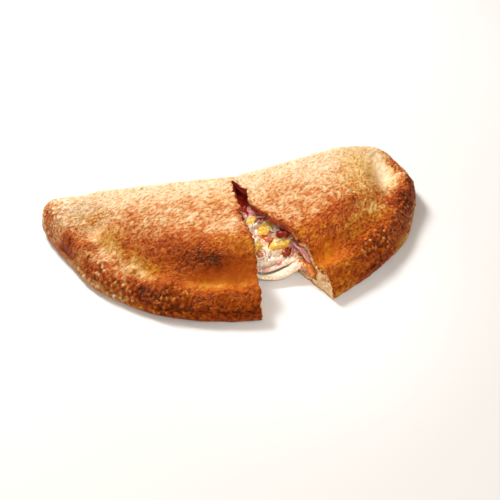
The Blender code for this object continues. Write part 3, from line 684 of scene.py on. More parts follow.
def rim_grains(u, v, z, knobbly, chosen):
    """For the chosen points: how far each is a grain of the rim, and how far it lies between grains."""
    grained, between = np.zeros_like(u), np.zeros_like(u)
    crowded = knobbly[chosen] * ease((rough(u[chosen], v[chosen], 0.008, 27) + 0.45) / 0.5)
    grained[chosen] = granules(u[chosen], v[chosen], z[chosen]) * crowded
    between[chosen] = crowded - grained[chosen]
    return grained, between


def from_torn_edge(x, y):
    """Distance from the torn edge of the top crust."""
    out = HINGE[1] - y
    edges = [np.interp(out, *zip(*edge)) for edge in (LEFT_TOP_EDGE, RIGHT_TOP_EDGE)]
    off = [np.abs(x - HINGE[0] - edge) for edge in edges]
    return np.minimum(*off) + np.maximum(LEFT_TOP_EDGE[0][0] - out, 0)


# %% Push the points out
def plan_of(thing):
    """Where each point of the torn dough was on the whole one: u, v, height, and how smooth or knobbly."""
    spots = places(thing)
    u, v = close_up(spots[:, 0], spots[:, 1])
    smooth, knobbly = (np.clip(ovals(table, u, v), 0, 1) for table in (SMOOTH, KNOBBLY))
    return spots, u, v, spots[:, 2], smooth, knobbly


GRAIN_SHOWS = 0.08          # knobbly places weaker than this have no round grains
spots, u, v, z, smooth, knobbly = plan_of(crust)
grained, _ = rim_grains(u, v, z, knobbly, knobbly > GRAIN_SHOWS)
push = grain(u, v, z) * (1 - 0.75 * smooth) + 0.0011 * grained
near_tear = np.exp(-(from_torn_edge(spots[:, 0], spots[:, 1]) / 0.0022) ** 2) * ease((z - 0.02) / 0.005)
push += near_tear * (0.0003 + 0.0016 * rough(u, v, 0.0030, 24))
print("pushed by up to", round(float(np.abs(push).max()) * 1000, 2), "mm")
lift = ease((z - 0.0006) / 0.002)    # the underside stays flat
spots += read_all(crust.data.vertex_normals, "vector", 3) * (push * lift)[:, None]
crust.data.vertices.foreach_set("co", np.ravel(spots))
crust.data.update()


# %% [markdown]
# ## The tear
# Tearing leaves rough bread: a thin crisp skin with a ragged edge, and under it pale crumb full of
# small air holes. A cutter with that roughness already on its walls does it in one cut, and the cut
# faces keep the cutter's material number, which later tells crumb from skin.

# %% The pocket
POCKET_INSET = 0.0190       # the hollow starts this far in from the rim
POCKET_BEHIND = 0.0090      # and this far in from the fold


def ceiling(u, v):
    """Underside of the top dough."""
    inside = np.minimum(rim_distance(u, v) - POCKET_INSET, v - POCKET_BEHIND)
    room = np.maximum(top_height(u, v) - WALL - FLOOR_WALL, 0.002)
    return FLOOR_WALL + 0.002 + (room - 0.002) * quarter_round(inside / 0.010)


def roof(u, v):
    """The ceiling as it really is, a little uneven."""
    return ceiling(u, v) + 0.0005 * rough(u, v, 0.01, 31)


def pocket():
    """The hollow that the filling sits in."""
    u, v = outline(POCKET_INSET, POCKET_BEHIND, 220, 8, 80)
    keep = np.concatenate([[True], np.hypot(np.diff(u), np.diff(v)) > 2e-4])
    u, v = u[keep], v[keep]
    spots, faces = fill_plan(u, v, step=0.0045, seed=5, fine_step=0.0018,
                             is_fine=lambda a, b: abs(a - 0.01) < 0.036)
    a, b = spots[:, 0], spots[:, 1]
    x, y = open_out(a, b)
    upper = roof(a, b) + 0.0003 * rough(a, b, 0.004, 33)
    lower = FLOOR_WALL + 0.0002 * rough(a, b, 0.012, 32)
    return closed_between("pocket", x, y, faces, upper, lower)


def closed_between(name, x, y, faces, upper, lower):
    """A closed solid between two heights over the same triangles."""
    count = len(x)
    vertices = list(zip(x, y, upper)) + list(zip(x, y, lower))
    edge_use = {}
    for face in faces:
        for i, first in enumerate(face):
            second = face[(i + 1) % len(face)]
            edge_use.setdefault((min(first, second), max(first, second)), []).append((first, second))
    walls = []
    for uses in edge_use.values():
        if len(uses) == 1:
            first, second = uses[0]
            walls.append((first, second, second + count, first + count))
    under = [tuple(count + i for i in reversed(face)) for face in faces]
    return new_object(name, vertices, faces + under + walls)


# %% The torn walls
TOP_OF_TEAR = 0.034         # from this height up, the tear follows its edges at the top


def tear_line(side, level):
    """One torn edge, as x and the distance out from the hinge; level 0 is the bottom, 1 the top."""
    high = ease((level - 0.15) / 0.4)
    start = mix(BOTTOM_START, LEFT_TOP_EDGE[0][0], high)
    out = np.linspace(start, DEPTH + 0.024, 200)
    spread = HALF_OPENING if side < 0 else HALF_OPENING + math.atan(TORN_AWAY)
    low_x = side * math.tan(spread) * out
    if side > 0:
        place, width, reach = LOWER_LIP
        low_x += reach * np.exp(-(((out - place) / width) ** 2))
    top_out, top_x = zip(*(LEFT_TOP_EDGE if side < 0 else RIGHT_TOP_EDGE))
    x = mix(low_x, np.interp(out, top_out, top_x), high)
    waves = 0.0008 * rough(out, np.full_like(out, level * 0.02), 0.016, 11 + side)
    waves += 0.0006 * rough(out, np.full_like(out, level * 0.05), 0.0045, 13 + side)
    return x + waves * ease((out - start) / 0.01), out


# The height of the skin along a line close beside the tear
BESIDE_TEAR_V = np.linspace(0.02, DEPTH, 60)
BESIDE_TEAR_U = np.full_like(BESIDE_TEAR_V, 0.004)
SKIN_OVER_TEAR = top_height(BESIDE_TEAR_U, BESIDE_TEAR_V) + relief(BESIDE_TEAR_U, BESIDE_TEAR_V)


def torn_roughness(side, out, height):
    """How far the torn wall stands in from the smooth one: crumb, air holes and a ragged skin."""
    v = out + HINGE_SETBACK
    z = np.full_like(v, height)
    away = ease((v - 0.016) / 0.012)
    crumb = 0.00045 * rough(v, z, 0.0030, 91 + side) + 0.00035 * rough(v, z, 0.0014, 93 + side)
    holes = np.clip(rough(v, z * 1.4, 0.0036, 95 + side) - 0.22, 0, 1) * 0.0042
    below = np.interp(v, BESIDE_TEAR_V, SKIN_OVER_TEAR) - height
    teeth = 0.0010 * rough(v, z * 0.3, 0.0022, 97 + side) + 0.0007 * rough(v, z * 0.3, 0.0010, 99 + side)
    ragged = teeth * np.exp(-np.maximum(below, 0) / 0.0022)
    tucked = 0.0009 * np.exp(-((below - 0.0022) / 0.0014) ** 2)
    return away * (crumb + holes + ragged + tucked)


def tear_wedge():
    """What is torn out: a ragged wedge, wider at the top where the crust has broken away."""
    through_dough = np.linspace(0.0006, 0.040, 46)
    levels = np.concatenate([[-0.01, -0.001], through_dough, [0.06]])
    vertices = []
    rings = []
    for height in levels:
        share = min(max(height / TOP_OF_TEAR, 0), 1)
        left_x, out = tear_line(-1, share)
        right_x, out = tear_line(1, share)
        middle = 0.5 * (left_x + right_x)
        left_x = np.minimum(left_x - torn_roughness(-1, out, height), middle - 0.0003)
        right_x = np.maximum(right_x + torn_roughness(1, out, height), middle + 0.0003)
        x = np.concatenate([left_x, right_x[::-1]]) + HINGE[0]
        y = HINGE[1] - np.concatenate([out, out[::-1]])
        rings.append(range(len(vertices), len(vertices) + len(x)))
        vertices += [(a, b, height) for a, b in zip(x, y)]
    ends = [tuple(rings[0]), tuple(reversed(rings[-1]))]
    return new_object("tear", vertices, ends + walls_between(rings, flip=True))


# %% Cut the pocket and the tear
hollow = pocket()
hollow.data.polygons.foreach_set("material_index", [STEAMED] * len(hollow.data.polygons))
wedge = tear_wedge()
wedge.data.polygons.foreach_set("material_index", [CRUMB] * len(wedge.data.polygons))
for number in range(3):
    for thing in (crust, hollow, wedge):
        thing.data.materials.append(bpy.data.materials.new("stand-in"))
combine(crust, hollow, "DIFFERENCE")
combine(crust, wedge, "DIFFERENCE")
keep_largest_piece(crust)
print("torn dough: skin, crumb and steamed faces", np.bincount(material_numbers(crust)))

# %% [markdown]
# ## Where the oven browned it
# Browning follows the form: the floury back and top stay pale, the shoulder that faced the oven's
# heat goes dark, the valley behind the rim stays golden, and the rim browns again. A few soft ovals
# over a base that deepens towards the rim describe this, and noise breaks them up. A second map says
# where oil soaked through and left the crust smooth, yellow and glossy instead of dry and pinkish.

# %% Toasted and pale places
# As every table of ovals: (u, v, length, width) in mm, direction in degrees, amount in percent
TOASTED = (
    (-58, 88, 26, 9, 14, 20), (-31, 104, 22, 7, 16, 66), (-14, 102, 12, 8, 8, -14),
    (-76, 80, 16, 9, 35, 7), (-87, 66, 13, 9, 60, 15), (-72, 83, 10, 7, 30, -4),
    (-28, 117, 34, 5, 7, -22), (-82, 95, 14, 6, 38, -30), (-100, 81, 14, 7, 55, -11),
    (-115, 49, 12, 6, 38, -5), (-106, 69, 10, 6, 40, -14), (-78, 112, 10, 5, 30, 52),
    (-134, 54, 9, 6, 45, 58), (-115, 63, 10, 4, -10, 26), (-115, 38, 12, 4, 0, 6),
    (-106, 97, 14, 4, 42, 4), (-66, 120, 14, 5, 25, 5), (-120, 80, 14, 5, 58, 24),
    (-34, 128, 16, 4, 8, 6), (-20, 140, 34, 4, 3, 8), (-60, 132, 18, 4, 22, 17),
    (-150, 17, 12, 4, 84, 36), (-148, 34, 14, 6, 70, 20), (-55, 112, 10, 5, 22, 14),
    (-20, 79, 16, 8, 0, -20), (-45, 66, 22, 10, 0, -9), (48, 86, 14, 6, -15, 16),
    (30, 97, 14, 8, -20, 12), (63, 92, 12, 3, -45, -12), (59, 103, 14, 4, -25, -8),
    (71, 76, 4, 4, 0, 13), (57, 76, 5, 4, 0, 10), (30, 82, 11, 6, 0, -12), (47, 113, 12, 6, 0, 17),
    (121, 49, 20, 9, 116, -26), (130, 75, 16, 9, -35, 36), (112, 83, 14, 9, -40, 22),
    (141, 68, 6, 5, 0, 23), (116, 97, 18, 8, -42, 23), (92, 104, 18, 8, -35, 12),
    (100, 116, 24, 4, -35, 20), (62, 127, 22, 5, -14, 8), (30, 128, 16, 6, -5, -6),
    (26, 116, 14, 8, 0, -6), (87, 88, 12, 8, 0, -22), (135, 42, 16, 5, 90, 31),
    (148, 38, 24, 7, 95, 26), (142, 18, 18, 10, 60, 10), (28, 44, 15, 20, 0, 8),
    (60, 40, 20, 14, 0, -5),
)
OILED = (
    (-117, 37, 12, 4, 5, 60), (-102, 62, 10, 6, 50, 80), (-86, 82, 16, 7, 45, 90),
    (-77, 103, 10, 5, 20, -60), (-100, 101, 24, 5, 40, 50), (-132, 62, 14, 4, 58, 40),
    (-14, 46, 12, 7, 20, 40), (108, 40, 22, 18, 90, 100), (84, 64, 18, 14, 120, 70),
    (118, 50, 8, 5, 120, -70), (85, 86, 20, 12, -30, 60), (108, 92, 18, 8, -45, -45),
    (78, 108, 14, 6, -25, -45),
)
# Along u in mm, in percent: how brown the lip is, and how dark the painted shade in the crevice over it is
LIP_TOAST = (
    (-150, 44), (-130, 34), (-100, 32), (-80, 62), (-70, 75), (-45, 86), (0, 93), (18, 52),
    (35, 52), (55, 90), (75, 80), (95, 36), (140, 40),
)

CREVICE = (
    (-140, 20), (-100, 5), (-60, 25), (-40, 50), (-5, 55), (20, 12), (120, 12),
)


# The base deepens towards the rim: (amount on the left, on the right, from this v on, over this width)
DEEPENING = (
    (0.250, 0.185, 0.018, 0.040), (0.124, 0.273, 0.060, 0.030),
    (0.197, 0.092, 0.088, 0.025), (0.146, -0.049, 0.120, 0.020),
)


# %% How brown and how oily the skin is
def along_lip(u, table):
    places_u, amounts = zip(*table)
    return np.interp(u, np.array(places_u) / 1000, np.array(amounts) / 100)


def skin_toast_and_shade(u, v, z):
    """How strongly the skin is browned, 0 floury and 1 burnt, with painted shade in the crevice over the
    lip, and how oily it is.
    """
    toast_and_shade = by_side(u, 0.085, 0.080)
    for left, right, start, width in DEEPENING:
        toast_and_shade = toast_and_shade + by_side(u, left, right) * ease((v - start) / width)
    toast_and_shade += ovals(TOASTED, u, v)
    oil = ease((v - 0.084) / 0.014) * ease((0.098 + u) / 0.03) + ovals(OILED, u, v)
    in_front = ease((v - by_side(u, 0.030, 0.045)) / 0.02)
    toast_and_shade = mix(toast_and_shade, along_lip(u, LIP_TOAST), ease((0.0105 - z) / 0.003) * in_front)
    # Painted shade: a dark line at the crease between the lip and the top layer, where shade falls.
    painted_crevice_shade = along_lip(u, CREVICE) * (0.7 + 0.9 * rough(u, v, 0.006, 67))
    painted_crevice_shade *= np.exp(-((z - 0.0092) / 0.0010) ** 2)
    toast_and_shade += painted_crevice_shade * in_front * ease((0.02 - rim_distance(u, v)) / 0.004)
    behind = ease((0.012 - v) / 0.010) * (1 - in_front)
    toast_and_shade += behind * (0.10 + 0.35 * ease((0.014 - z) / 0.012))
    return toast_and_shade, np.clip(oil, 0, 1)


# %% Skin, crumb and wall
def masks_by_material(thing):
    """For each vertex, how much of the faces round it is skin, crumb or steamed wall."""
    share = np.zeros((len(thing.data.vertices), 3))
    sizes = read_all(thing.data.polygons, "loop_total", kind=np.int32)
    corners = read_all(thing.data.loops, "vertex_index", kind=np.int32)
    np.add.at(share, (corners, np.repeat(material_numbers(thing), sizes)), 1)
    return share / np.maximum(share.sum(axis=1, keepdims=True), 1)


spots, u, v, z, smooth, knobbly = plan_of(crust)
shares = masks_by_material(crust)
torn = 1 - shares[:, SKIN]
toast_and_shade, oil = skin_toast_and_shade(u, v, z)
torn_rim = np.exp(-from_torn_edge(spots[:, 0], spots[:, 1]) / 0.0018) * ease((z - 0.020) / 0.006)
patches = 0.12 * rough(u, v, 0.0080, 61, z) + 0.10 * rough(u, v, 0.0032, 62, z)
mottle = patches + 0.10 * rough(u, v, 0.0017, 63, z)
# These streaks are mostly the same ones that push the mesh out, so the toast is painted lower on the
# wrinkles' ridges as painted highlight and higher in their grooves as painted shade.
slant = 0.8 * streaks(u, v, 0.0046, 23, z) + 0.4 * streaks(u, v, 0.0090, 69, z)
calm = (1 - 0.45 * smooth) * mix(0.45, 1.0, ease((toast_and_shade - 0.06) / 0.25))
toast_and_shade += (mottle - 0.20 * slant * ease((v - 0.020) / 0.03)) * calm
toast_and_shade -= 0.55 * np.maximum(toast_and_shade - 0.64, 0)
toast_and_shade += torn_rim * (0.16 + 0.5 * rough(u, v, 0.0022, 68, z))
under_skin = np.maximum(top_height(u, v) + relief(u, v) - z, 0)
crumb_tone = 0.5 * mottle + 0.48 * ease((0.108 - v) / 0.016)
# Painted shade: dark spots in the crumb, about three millimetres under the skin, stand for the shade inside
# its air holes.
painted_air_hole_shade = ease((rough(v, z, 0.0026, 72) - 0.10) / 0.15) * np.exp(-(((under_skin - 0.0032) / 0.0016) ** 2))
crumb_tone += 0.9 * painted_air_hole_shade * ease((v - 0.088) / 0.01)
inner = mix(toast_and_shade * 0.8 + 0.15, crumb_tone, ease((under_skin - 0.0004) / 0.0016))
inner += 0.35 * ease((0.0018 - z) / 0.0012)
toast_and_shade = np.where(shares[:, SKIN] > 0.99, toast_and_shade, mix(toast_and_shade, inner, torn))
between_crusts = ease((z - 0.0050) / 0.002) * ease((under_skin - 0.0034) / 0.002)
between_crusts *= 1 - (0.50 + 1.2 * rough(v, z, 0.0050, 73)) * ease((v - 0.112) / 0.008)
deep = ease((0.050 - v) / 0.020)
soaked = ease((0.098 - v) / 0.016) * ease((under_skin - 0.0016) / 0.0014) * ease((z - 0.010) / 0.004)
stain = between_crusts * (1.0 + 0.8 * rough(u, v, 0.005, 65, z)) + 0.8 * deep + soaked
stain = np.clip(stain, 0, 1) * torn
deep = np.maximum(deep, 0.75 * soaked * ease((0.105 - v) / 0.01))
stain = np.maximum(stain, shares[:, STEAMED] * (0.55 + 0.4 * rough(u, v, 0.008, 66)))
grained, between = rim_grains(u, v, z, knobbly, knobbly * (1 - torn) > GRAIN_SHOWS)
# The toast map carries the browning of the dough and also the painted shade of the crevice, the wrinkles and
# the air holes.
for name, values in (
    ("toast_and_shade", np.clip(toast_and_shade, 0, 1)), ("oil", oil * (1 - torn)), ("stain", np.clip(stain, 0, 1)),
    ("granule", grained), ("between", between), ("smooth", smooth * (1 - torn)), ("deep", deep * torn),
):
    keep_on_points(crust, name, values)
print("toast runs from", round(float(toast_and_shade.min()), 2), "to", round(float(toast_and_shade.max()), 2))

# %% [markdown]
# ## Tools for materials
# A material is a small net of nodes. A few helpers keep the nets readable: one places a node and
# wires its sockets by name, and others do arithmetic, mix colours, and read numbers off the points.

# %% Node helpers
def wire(tree, value, socket):
    """Link a socket to a socket, or set a plain value on it."""
    if isinstance(value, bpy.types.NodeSocket):
        tree.links.new(value, socket)
    else:
        socket.default_value = value


def wire_all(tree, node, **sockets):
    """Wire or set sockets by name; a name has _ where the socket's own has a space."""
    for name, value in sockets.items():
        wire(tree, value, node.inputs[name.replace("_", " ")])
    return node


def add(tree, kind, settings=None, **sockets):
    node = tree.nodes.new("ShaderNode" + kind)
    for key, value in (settings or {}).items():
        setattr(node, key, value)
    return wire_all(tree, node, **sockets)


def calc(tree, operation, *values, clamp=False):
    node = tree.nodes.new("ShaderNodeMath")
    node.operation = operation
    node.use_clamp = clamp
    for socket, value in zip(node.inputs, values):
        wire(tree, value, socket)
    return node.outputs[0]


def times(tree, value, factor, plus=None):
    """value * factor, and plus a third where one is given."""
    if plus is None:
        return calc(tree, "MULTIPLY", value, factor)
    return calc(tree, "MULTIPLY_ADD", value, factor, plus)


def blend_colours(tree, share, first, second, how="MIX"):
    node = tree.nodes.new("ShaderNodeMix")
    node.data_type = "RGBA"
    node.blend_type = how
    wire(tree, share, node.inputs[0])
    wire(tree, first, node.inputs[6])
    wire(tree, second, node.inputs[7])
    return node.outputs[2]


def from_to(tree, value, low, high):
    """0 below low, 1 above high, smooth between."""
    node = add(tree, "MapRange", {"interpolation_type": "SMOOTHSTEP"},
               Value=value, From_Min=low, From_Max=high)
    return node.outputs[0]


def colours_along(tree, value, stops):
    """A run of colours: each stop is its place from 0 to 1 and red, green, blue."""
    node = tree.nodes.new("ShaderNodeValToRGB")
    run = node.color_ramp
    while len(run.elements) < len(stops):
        run.elements.new(0.5)
    for element, (place, red, green, blue) in zip(run.elements, stops):
        element.position = place
        element.color = (red, green, blue, 1.0)
    wire(tree, value, node.inputs[0])
    return node.outputs[0]


# %% Helpers for groups, points and bumps
def new_group(name, inputs, outputs):
    """An empty node group with named sockets: inputs are (name, kind, value), outputs (name, kind)."""
    group = bpy.data.node_groups.new(name, "ShaderNodeTree")
    for label, kind, value in inputs:
        socket = group.interface.new_socket(label, in_out="INPUT", socket_type="NodeSocket" + kind)
        if value is not None:
            socket.default_value = value
    for label, kind in outputs:
        group.interface.new_socket(label, in_out="OUTPUT", socket_type="NodeSocket" + kind)
    return group, group.nodes.new("NodeGroupInput").outputs, group.nodes.new("NodeGroupOutput").inputs


def use_group(tree, group, **sockets):
    node = tree.nodes.new("ShaderNodeGroup")
    node.node_tree = group
    return wire_all(tree, node, **sockets).outputs


def read_points(tree, name):
    return add(tree, "Attribute", {"attribute_name": name}).outputs["Fac"]


def where_on_object(tree):
    return add(tree, "TexCoord").outputs["Object"]


def bumps(tree, height, distance, strength=1.0):
    return add(tree, "Bump", Strength=strength, Distance=distance, Height=height).outputs[0]


# %% [markdown]
# ## Patterns that the materials share
# The skin and the crumb share a run of baked colours, and all of them use a fine grain; the skin also has
# wrinkles. Each is a node group, built once and placed in the materials that use it, with each one's own
# size and values.

# %% Colours of baked dough
DRY_BAKE = ((0.00, 0.93, 0.80, 0.60), (0.15, 0.80, 0.58, 0.37), (0.30, 0.68, 0.385, 0.175),
            (0.45, 0.62, 0.210, 0.056), (0.60, 0.53, 0.102, 0.015), (0.75, 0.40, 0.053, 0.007),
            (0.90, 0.23, 0.025, 0.005), (1.00, 0.09, 0.014, 0.006))
OILY_BAKE = ((0.00, 0.95, 0.78, 0.47), (0.15, 0.87, 0.58, 0.24), (0.30, 0.70, 0.37, 0.080),
             (0.45, 0.58, 0.22, 0.013), (0.60, 0.54, 0.106, 0.004), (0.75, 0.41, 0.056, 0.003),
             (0.90, 0.23, 0.026, 0.002), (1.00, 0.08, 0.013, 0.003))
baked_colour, given, result = new_group(
    "baked colour", (("Toast", "Float", 0.5), ("Oil", "Float", 0.0)), (("Color", "Color"),))
dry = colours_along(baked_colour, given["Toast"], DRY_BAKE)
oily = colours_along(baked_colour, given["Toast"], OILY_BAKE)
wire(baked_colour, blend_colours(baked_colour, given["Oil"], dry, oily), result["Color"])

# %% Fine grain: soft granules over a cloudy noise
fine_grain, given, result = new_group(
    "fine grain", (("Place", "Vector", None), ("Size", "Float", 0.0016)),
    (("Height", "Float"), ("Granules", "Float")))
frequency = calc(fine_grain, "DIVIDE", 1.0, given["Size"])
warp = add(fine_grain, "TexNoise", Vector=given["Place"],
           Scale=times(fine_grain, frequency, 0.6), Detail=1.0)
shift = add(fine_grain, "VectorMath", {"operation": "MULTIPLY_ADD"})
wire(fine_grain, warp.outputs["Color"], shift.inputs[0])
shift.inputs[1].default_value = (0.0011, 0.0011, 0.0011)
wire(fine_grain, given["Place"], shift.inputs[2])
cells = add(fine_grain, "TexVoronoi", {"feature": "SMOOTH_F1"}, Vector=shift.outputs[0],
            Scale=frequency, Smoothness=0.6)
rounded = from_to(fine_grain, cells.outputs["Distance"], 0.62, 0.10)
cloud = add(fine_grain, "TexNoise", Vector=shift.outputs[0],
            Scale=times(fine_grain, frequency, 0.75), Detail=4.0, Roughness=0.62)
cloudy = times(fine_grain, cloud.outputs["Fac"], 0.55)
wire(fine_grain, times(fine_grain, rounded, 0.45, cloudy), result["Height"])
wire(fine_grain, rounded, result["Granules"])

# %% Wrinkles: noise drawn out along one slanting direction
wrinkles, given, result = new_group(
    "wrinkles", (("Place", "Vector", None), ("Size", "Float", 0.002)), (("Height", "Float"),))
turned = []
for direction, squeeze in (((0.90, 0.44, 0.0), 0.62), ((0.44, -0.90, 0.0), 1.0), ((0.0, 0.0, 1.0), 0.9)):
    share = add(wrinkles, "VectorMath", {"operation": "DOT_PRODUCT"})
    wire(wrinkles, given["Place"], share.inputs[0])
    share.inputs[1].default_value = direction
    squeezed = times(wrinkles, share.outputs["Value"], squeeze)
    turned.append(calc(wrinkles, "DIVIDE", squeezed, given["Size"]))
drawn_out = add(wrinkles, "CombineXYZ", X=turned[0], Y=turned[1], Z=turned[2])
crinkle = add(wrinkles, "TexNoise", Vector=drawn_out.outputs[0], Scale=1.0, Detail=2.5,
              Roughness=0.60, Distortion=0.15)
wire(wrinkles, from_to(wrinkles, crinkle.outputs["Fac"], 0.31, 0.69), result["Height"])

# %% [markdown]
# ## The baked skin
# The skin is dry and matt where flour lay on it, and has a soft gloss where oil came through. Its colour
# is painted lighter on the tops of the grain as painted highlight and darker in its gaps as painted
# shade, so the colour and the bump come from the same pattern.

# %% Material of the skin
baked_skin, tree, surface = new_material("baked skin")
place = where_on_object(tree)
read_toast_and_shade, oil_here, smoothed, bubbles = (
    read_points(tree, name) for name in ("toast_and_shade", "oil", "smooth", "granule"))
small = use_group(tree, fine_grain, Place=place, Size=0.0013)
folds = use_group(tree, wrinkles, Place=place, Size=0.0019)
dryness = times(tree, smoothed, -0.88, 1.0)
browned = from_to(tree, read_toast_and_shade, 0.02, 0.32)
dryness = times(tree, dryness, times(tree, browned, 0.28, 0.54))
peach = times(tree, browned, -0.045, 0.055)
height = times(tree, small["Height"], 0.40, times(tree, folds["Height"], 0.75))
speck_cells = add(tree, "TexVoronoi", Vector=place, Scale=150.0)
speck = times(tree, from_to(tree, speck_cells.outputs["Distance"], 0.14, 0.07),
             from_to(tree, speck_cells.outputs["Color"], 0.55, 0.60))
# Painted shade and highlight: the toast is raised in the grain's low gaps and lowered on its tops, following
# the same height as the bump.
crease_shade_depth = times(tree, read_toast_and_shade, -0.16, 0.28)
painted_grain_shade_and_highlight = times(tree, from_to(tree, height, 0.52, 0.14), crease_shade_depth, -0.015)
highlight_and_shade_contrast = times(tree, read_toast_and_shade, 0.26, 0.13)
painted_grain_shade_and_highlight = times(tree, calc(tree, "SUBTRACT", 0.60, height), highlight_and_shade_contrast, painted_grain_shade_and_highlight)
toast_and_shade_here = times(tree, painted_grain_shade_and_highlight, dryness, calc(tree, "ADD", read_toast_and_shade, peach))
# Painted shade: the toast is raised where the rim grains crowd close but off the grains themselves,
# darkening the gaps between them.
toast_and_shade_here = times(tree, read_points(tree, "between"), 0.17, toast_and_shade_here)
toast_and_shade_here = times(tree, bubbles, -0.44, toast_and_shade_here)
toast_and_shade_here = calc(tree, "MULTIPLY_ADD", speck, 0.35, toast_and_shade_here, clamp=True)
oily_colour = times(tree, oil_here, times(tree, bubbles, -0.7, 1.0))
skin_colour = use_group(tree, baked_colour, Toast=toast_and_shade_here, Oil=oily_colour)["Color"]
ochre = times(tree, times(tree, smoothed, 0.42), from_to(tree, read_toast_and_shade, 0.12, 0.40))
skin_colour = blend_colours(tree, ochre, skin_colour, (0.70, 1.0, 0.9, 1.0), "MULTIPLY")
crispness = times(tree, read_toast_and_shade, 1.5, 0.38)
raised = times(tree, height, times(tree, dryness, crispness))
raised = times(tree, bubbles, 0.25, raised)
wire_all(tree, surface, Base_Color=skin_colour, Normal=bumps(tree, raised, 0.0023),
         Roughness=times(tree, oil_here, -0.26, 0.62),
         Specular_IOR_Level=0.35, Specular_Tint=(1.0, 0.60, 0.20, 1.0))

# %% [markdown]
# ## Torn crumb and the steamed wall
# Inside, the dough is pale, soft and a little wet. Where filling touched it, it is stained orange,
# and deep in the tear, near the hinge, it is soaked dark red. Light goes a short way into it.

# %% Material of the crumb
SAUCE_IN_CRUMB = ((0.0, 0.58, 0.13, 0.010), (0.5, 0.38, 0.045, 0.008), (1.0, 0.34, 0.020, 0.010))


def inside_dough(name, wetness):
    material, tree, surface = new_material(name)
    place = where_on_object(tree)
    crumb = use_group(tree, fine_grain, Place=place, Size=0.0012)
    # Painted shade and highlight: the crumb's colour is darker in the low pits of its grain and paler on its
    # tops, following the same height as its bump.
    painted_pit_shade = calc(tree, "SUBTRACT", 0.55, crumb["Height"])
    toast_and_shade_here = calc(tree, "MULTIPLY_ADD", painted_pit_shade, 0.60, read_points(tree, "toast_and_shade"), clamp=True)
    bread = use_group(tree, baked_colour, Toast=toast_and_shade_here, Oil=0.75)["Color"]
    sauce = colours_along(tree, read_points(tree, "deep"), SAUCE_IN_CRUMB)
    seeping = calc(tree, "SUBTRACT", crumb["Height"], 0.5)
    seeping = times(tree, seeping, 1.1, read_points(tree, "stain"))
    stained = from_to(tree, seeping, 0.15, 0.75)
    wire_all(tree, surface, Base_Color=blend_colours(tree, stained, bread, sauce),
             Roughness=times(tree, stained, -0.25, 0.70 - wetness),
             Normal=bumps(tree, crumb["Height"], 0.0016, 0.9),
             Subsurface_Weight=0.15, Subsurface_Radius=(1.0, 0.5, 0.25), Subsurface_Scale=0.0012)
    return material


torn_crumb = inside_dough("torn crumb", 0.0)
steamed_wall = inside_dough("steamed wall", 0.2)
for number, material in enumerate((baked_skin, torn_crumb, steamed_wall)):
    crust.data.materials[number] = material
crust.name = "crust_baked"
crust.data.shade_smooth()
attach(crust, "root")
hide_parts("crust")
print("crust:", sum(len(face.vertices) - 2 for face in crust.data.polygons), "triangles")

# %% [markdown]
# ## The filling
# Melted mozzarella runs together into a lumpy sheet that fills both halves and sags across the tear.
# At its front edge it pulls out into strings. A height over a plan gives the sheet, finer where it
# shows, and tubes joined to it give the strings.

# %% The cheese sheet
GAP = 0.0003                # left between the cheese and what touches it
FILLING_INSET = 0.0215      # the cheese starts this far in from the rim
FILLING_BEHIND = 0.0110     # and this far in from the fold
FILLING_EASE = 0.0009       # how far it stays under the dough above it
# Height of the cheese down the middle of the tear, at even steps out from the hinge
HEAP = (0.0165, 0.0212, 0.0224, 0.0210, 0.0168, 0.0112)
HEAP_STEP = 0.0166
# The front edge of the sheet, and the strings that hang before it: (x, y[, height, radius])
FRONT = in_metres((
    (-170, -1000), (-120, -910), (-60, -832), (25, -824), (106, -819), (165, -846), (220, -912),
    (275, -1020),
))
STRANDS = (
    in_metres((
        (-220, -860, 105, 18), (-140, -870, 85, 18), (-63, -892, 50, 20), (30, -913, 46, 30),
        (123, -905, 60, 38), (196, -898, 92, 36), (263, -896, 120, 32), (330, -930, 135, 26),
    )),
    in_metres((
        (-180, -815, 115, 16), (-49, -856, 80, 18), (35, -861, 84, 21), (111, -855, 100, 22),
        (170, -858, 118, 20), (250, -860, 140, 17),
    )),
)


# %% Where the cheese is, and how high
def torn_edges(y):
    """Where the left and right torn edges run at this depth of the tear."""
    out = np.maximum(HINGE[1] - y, 0.002)
    return -math.tan(HALF_OPENING) * out, math.tan(HALF_OPENING + math.atan(TORN_AWAY)) * out


def across_tear(x, y):
    """-1 at the left torn edge, 1 at the right one, 0 midway."""
    left, right = torn_edges(y)
    return (x - HINGE[0] - left) / (right - left) * 2 - 1


def past_edges(x, y):
    """How far a point lies inside the open tear, from the nearer torn edge."""
    left, right = torn_edges(y)
    return np.minimum(x - HINGE[0] - left, right - (x - HINGE[0]))


def headroom(x, y):
    """The lowest that the top dough hangs near a point of the opened-out plan."""
    u, v = close_up(x, y)
    reach = 0.0022
    heights = [roof(u + a, v + b) for a, b in ((0, 0), (reach, 0), (-reach, 0), (0, reach), (0, -reach))]
    return np.min(heights, axis=0) - FILLING_EASE


def below_dough(x, y, height):
    """Keep a height under the dough, wherever the tear isn't open above it."""
    return np.where(past_edges(x, y) < 0.010, np.minimum(height, headroom(x, y)), height)


def curds(x, y):
    """Soft lumps, folds and shreds of the melted cheese."""
    fold = 1 - np.abs(rough(x * 0.7 + y * 0.7, y * 1.3 - x * 1.3, 0.0060, 71))
    lumps = 0.0013 * rough(x, y, 0.0042, 72) + 0.0009 * rough(x, y, 0.0021, 73)
    return lumps + 0.0015 * (fold ** 3 - 0.4)


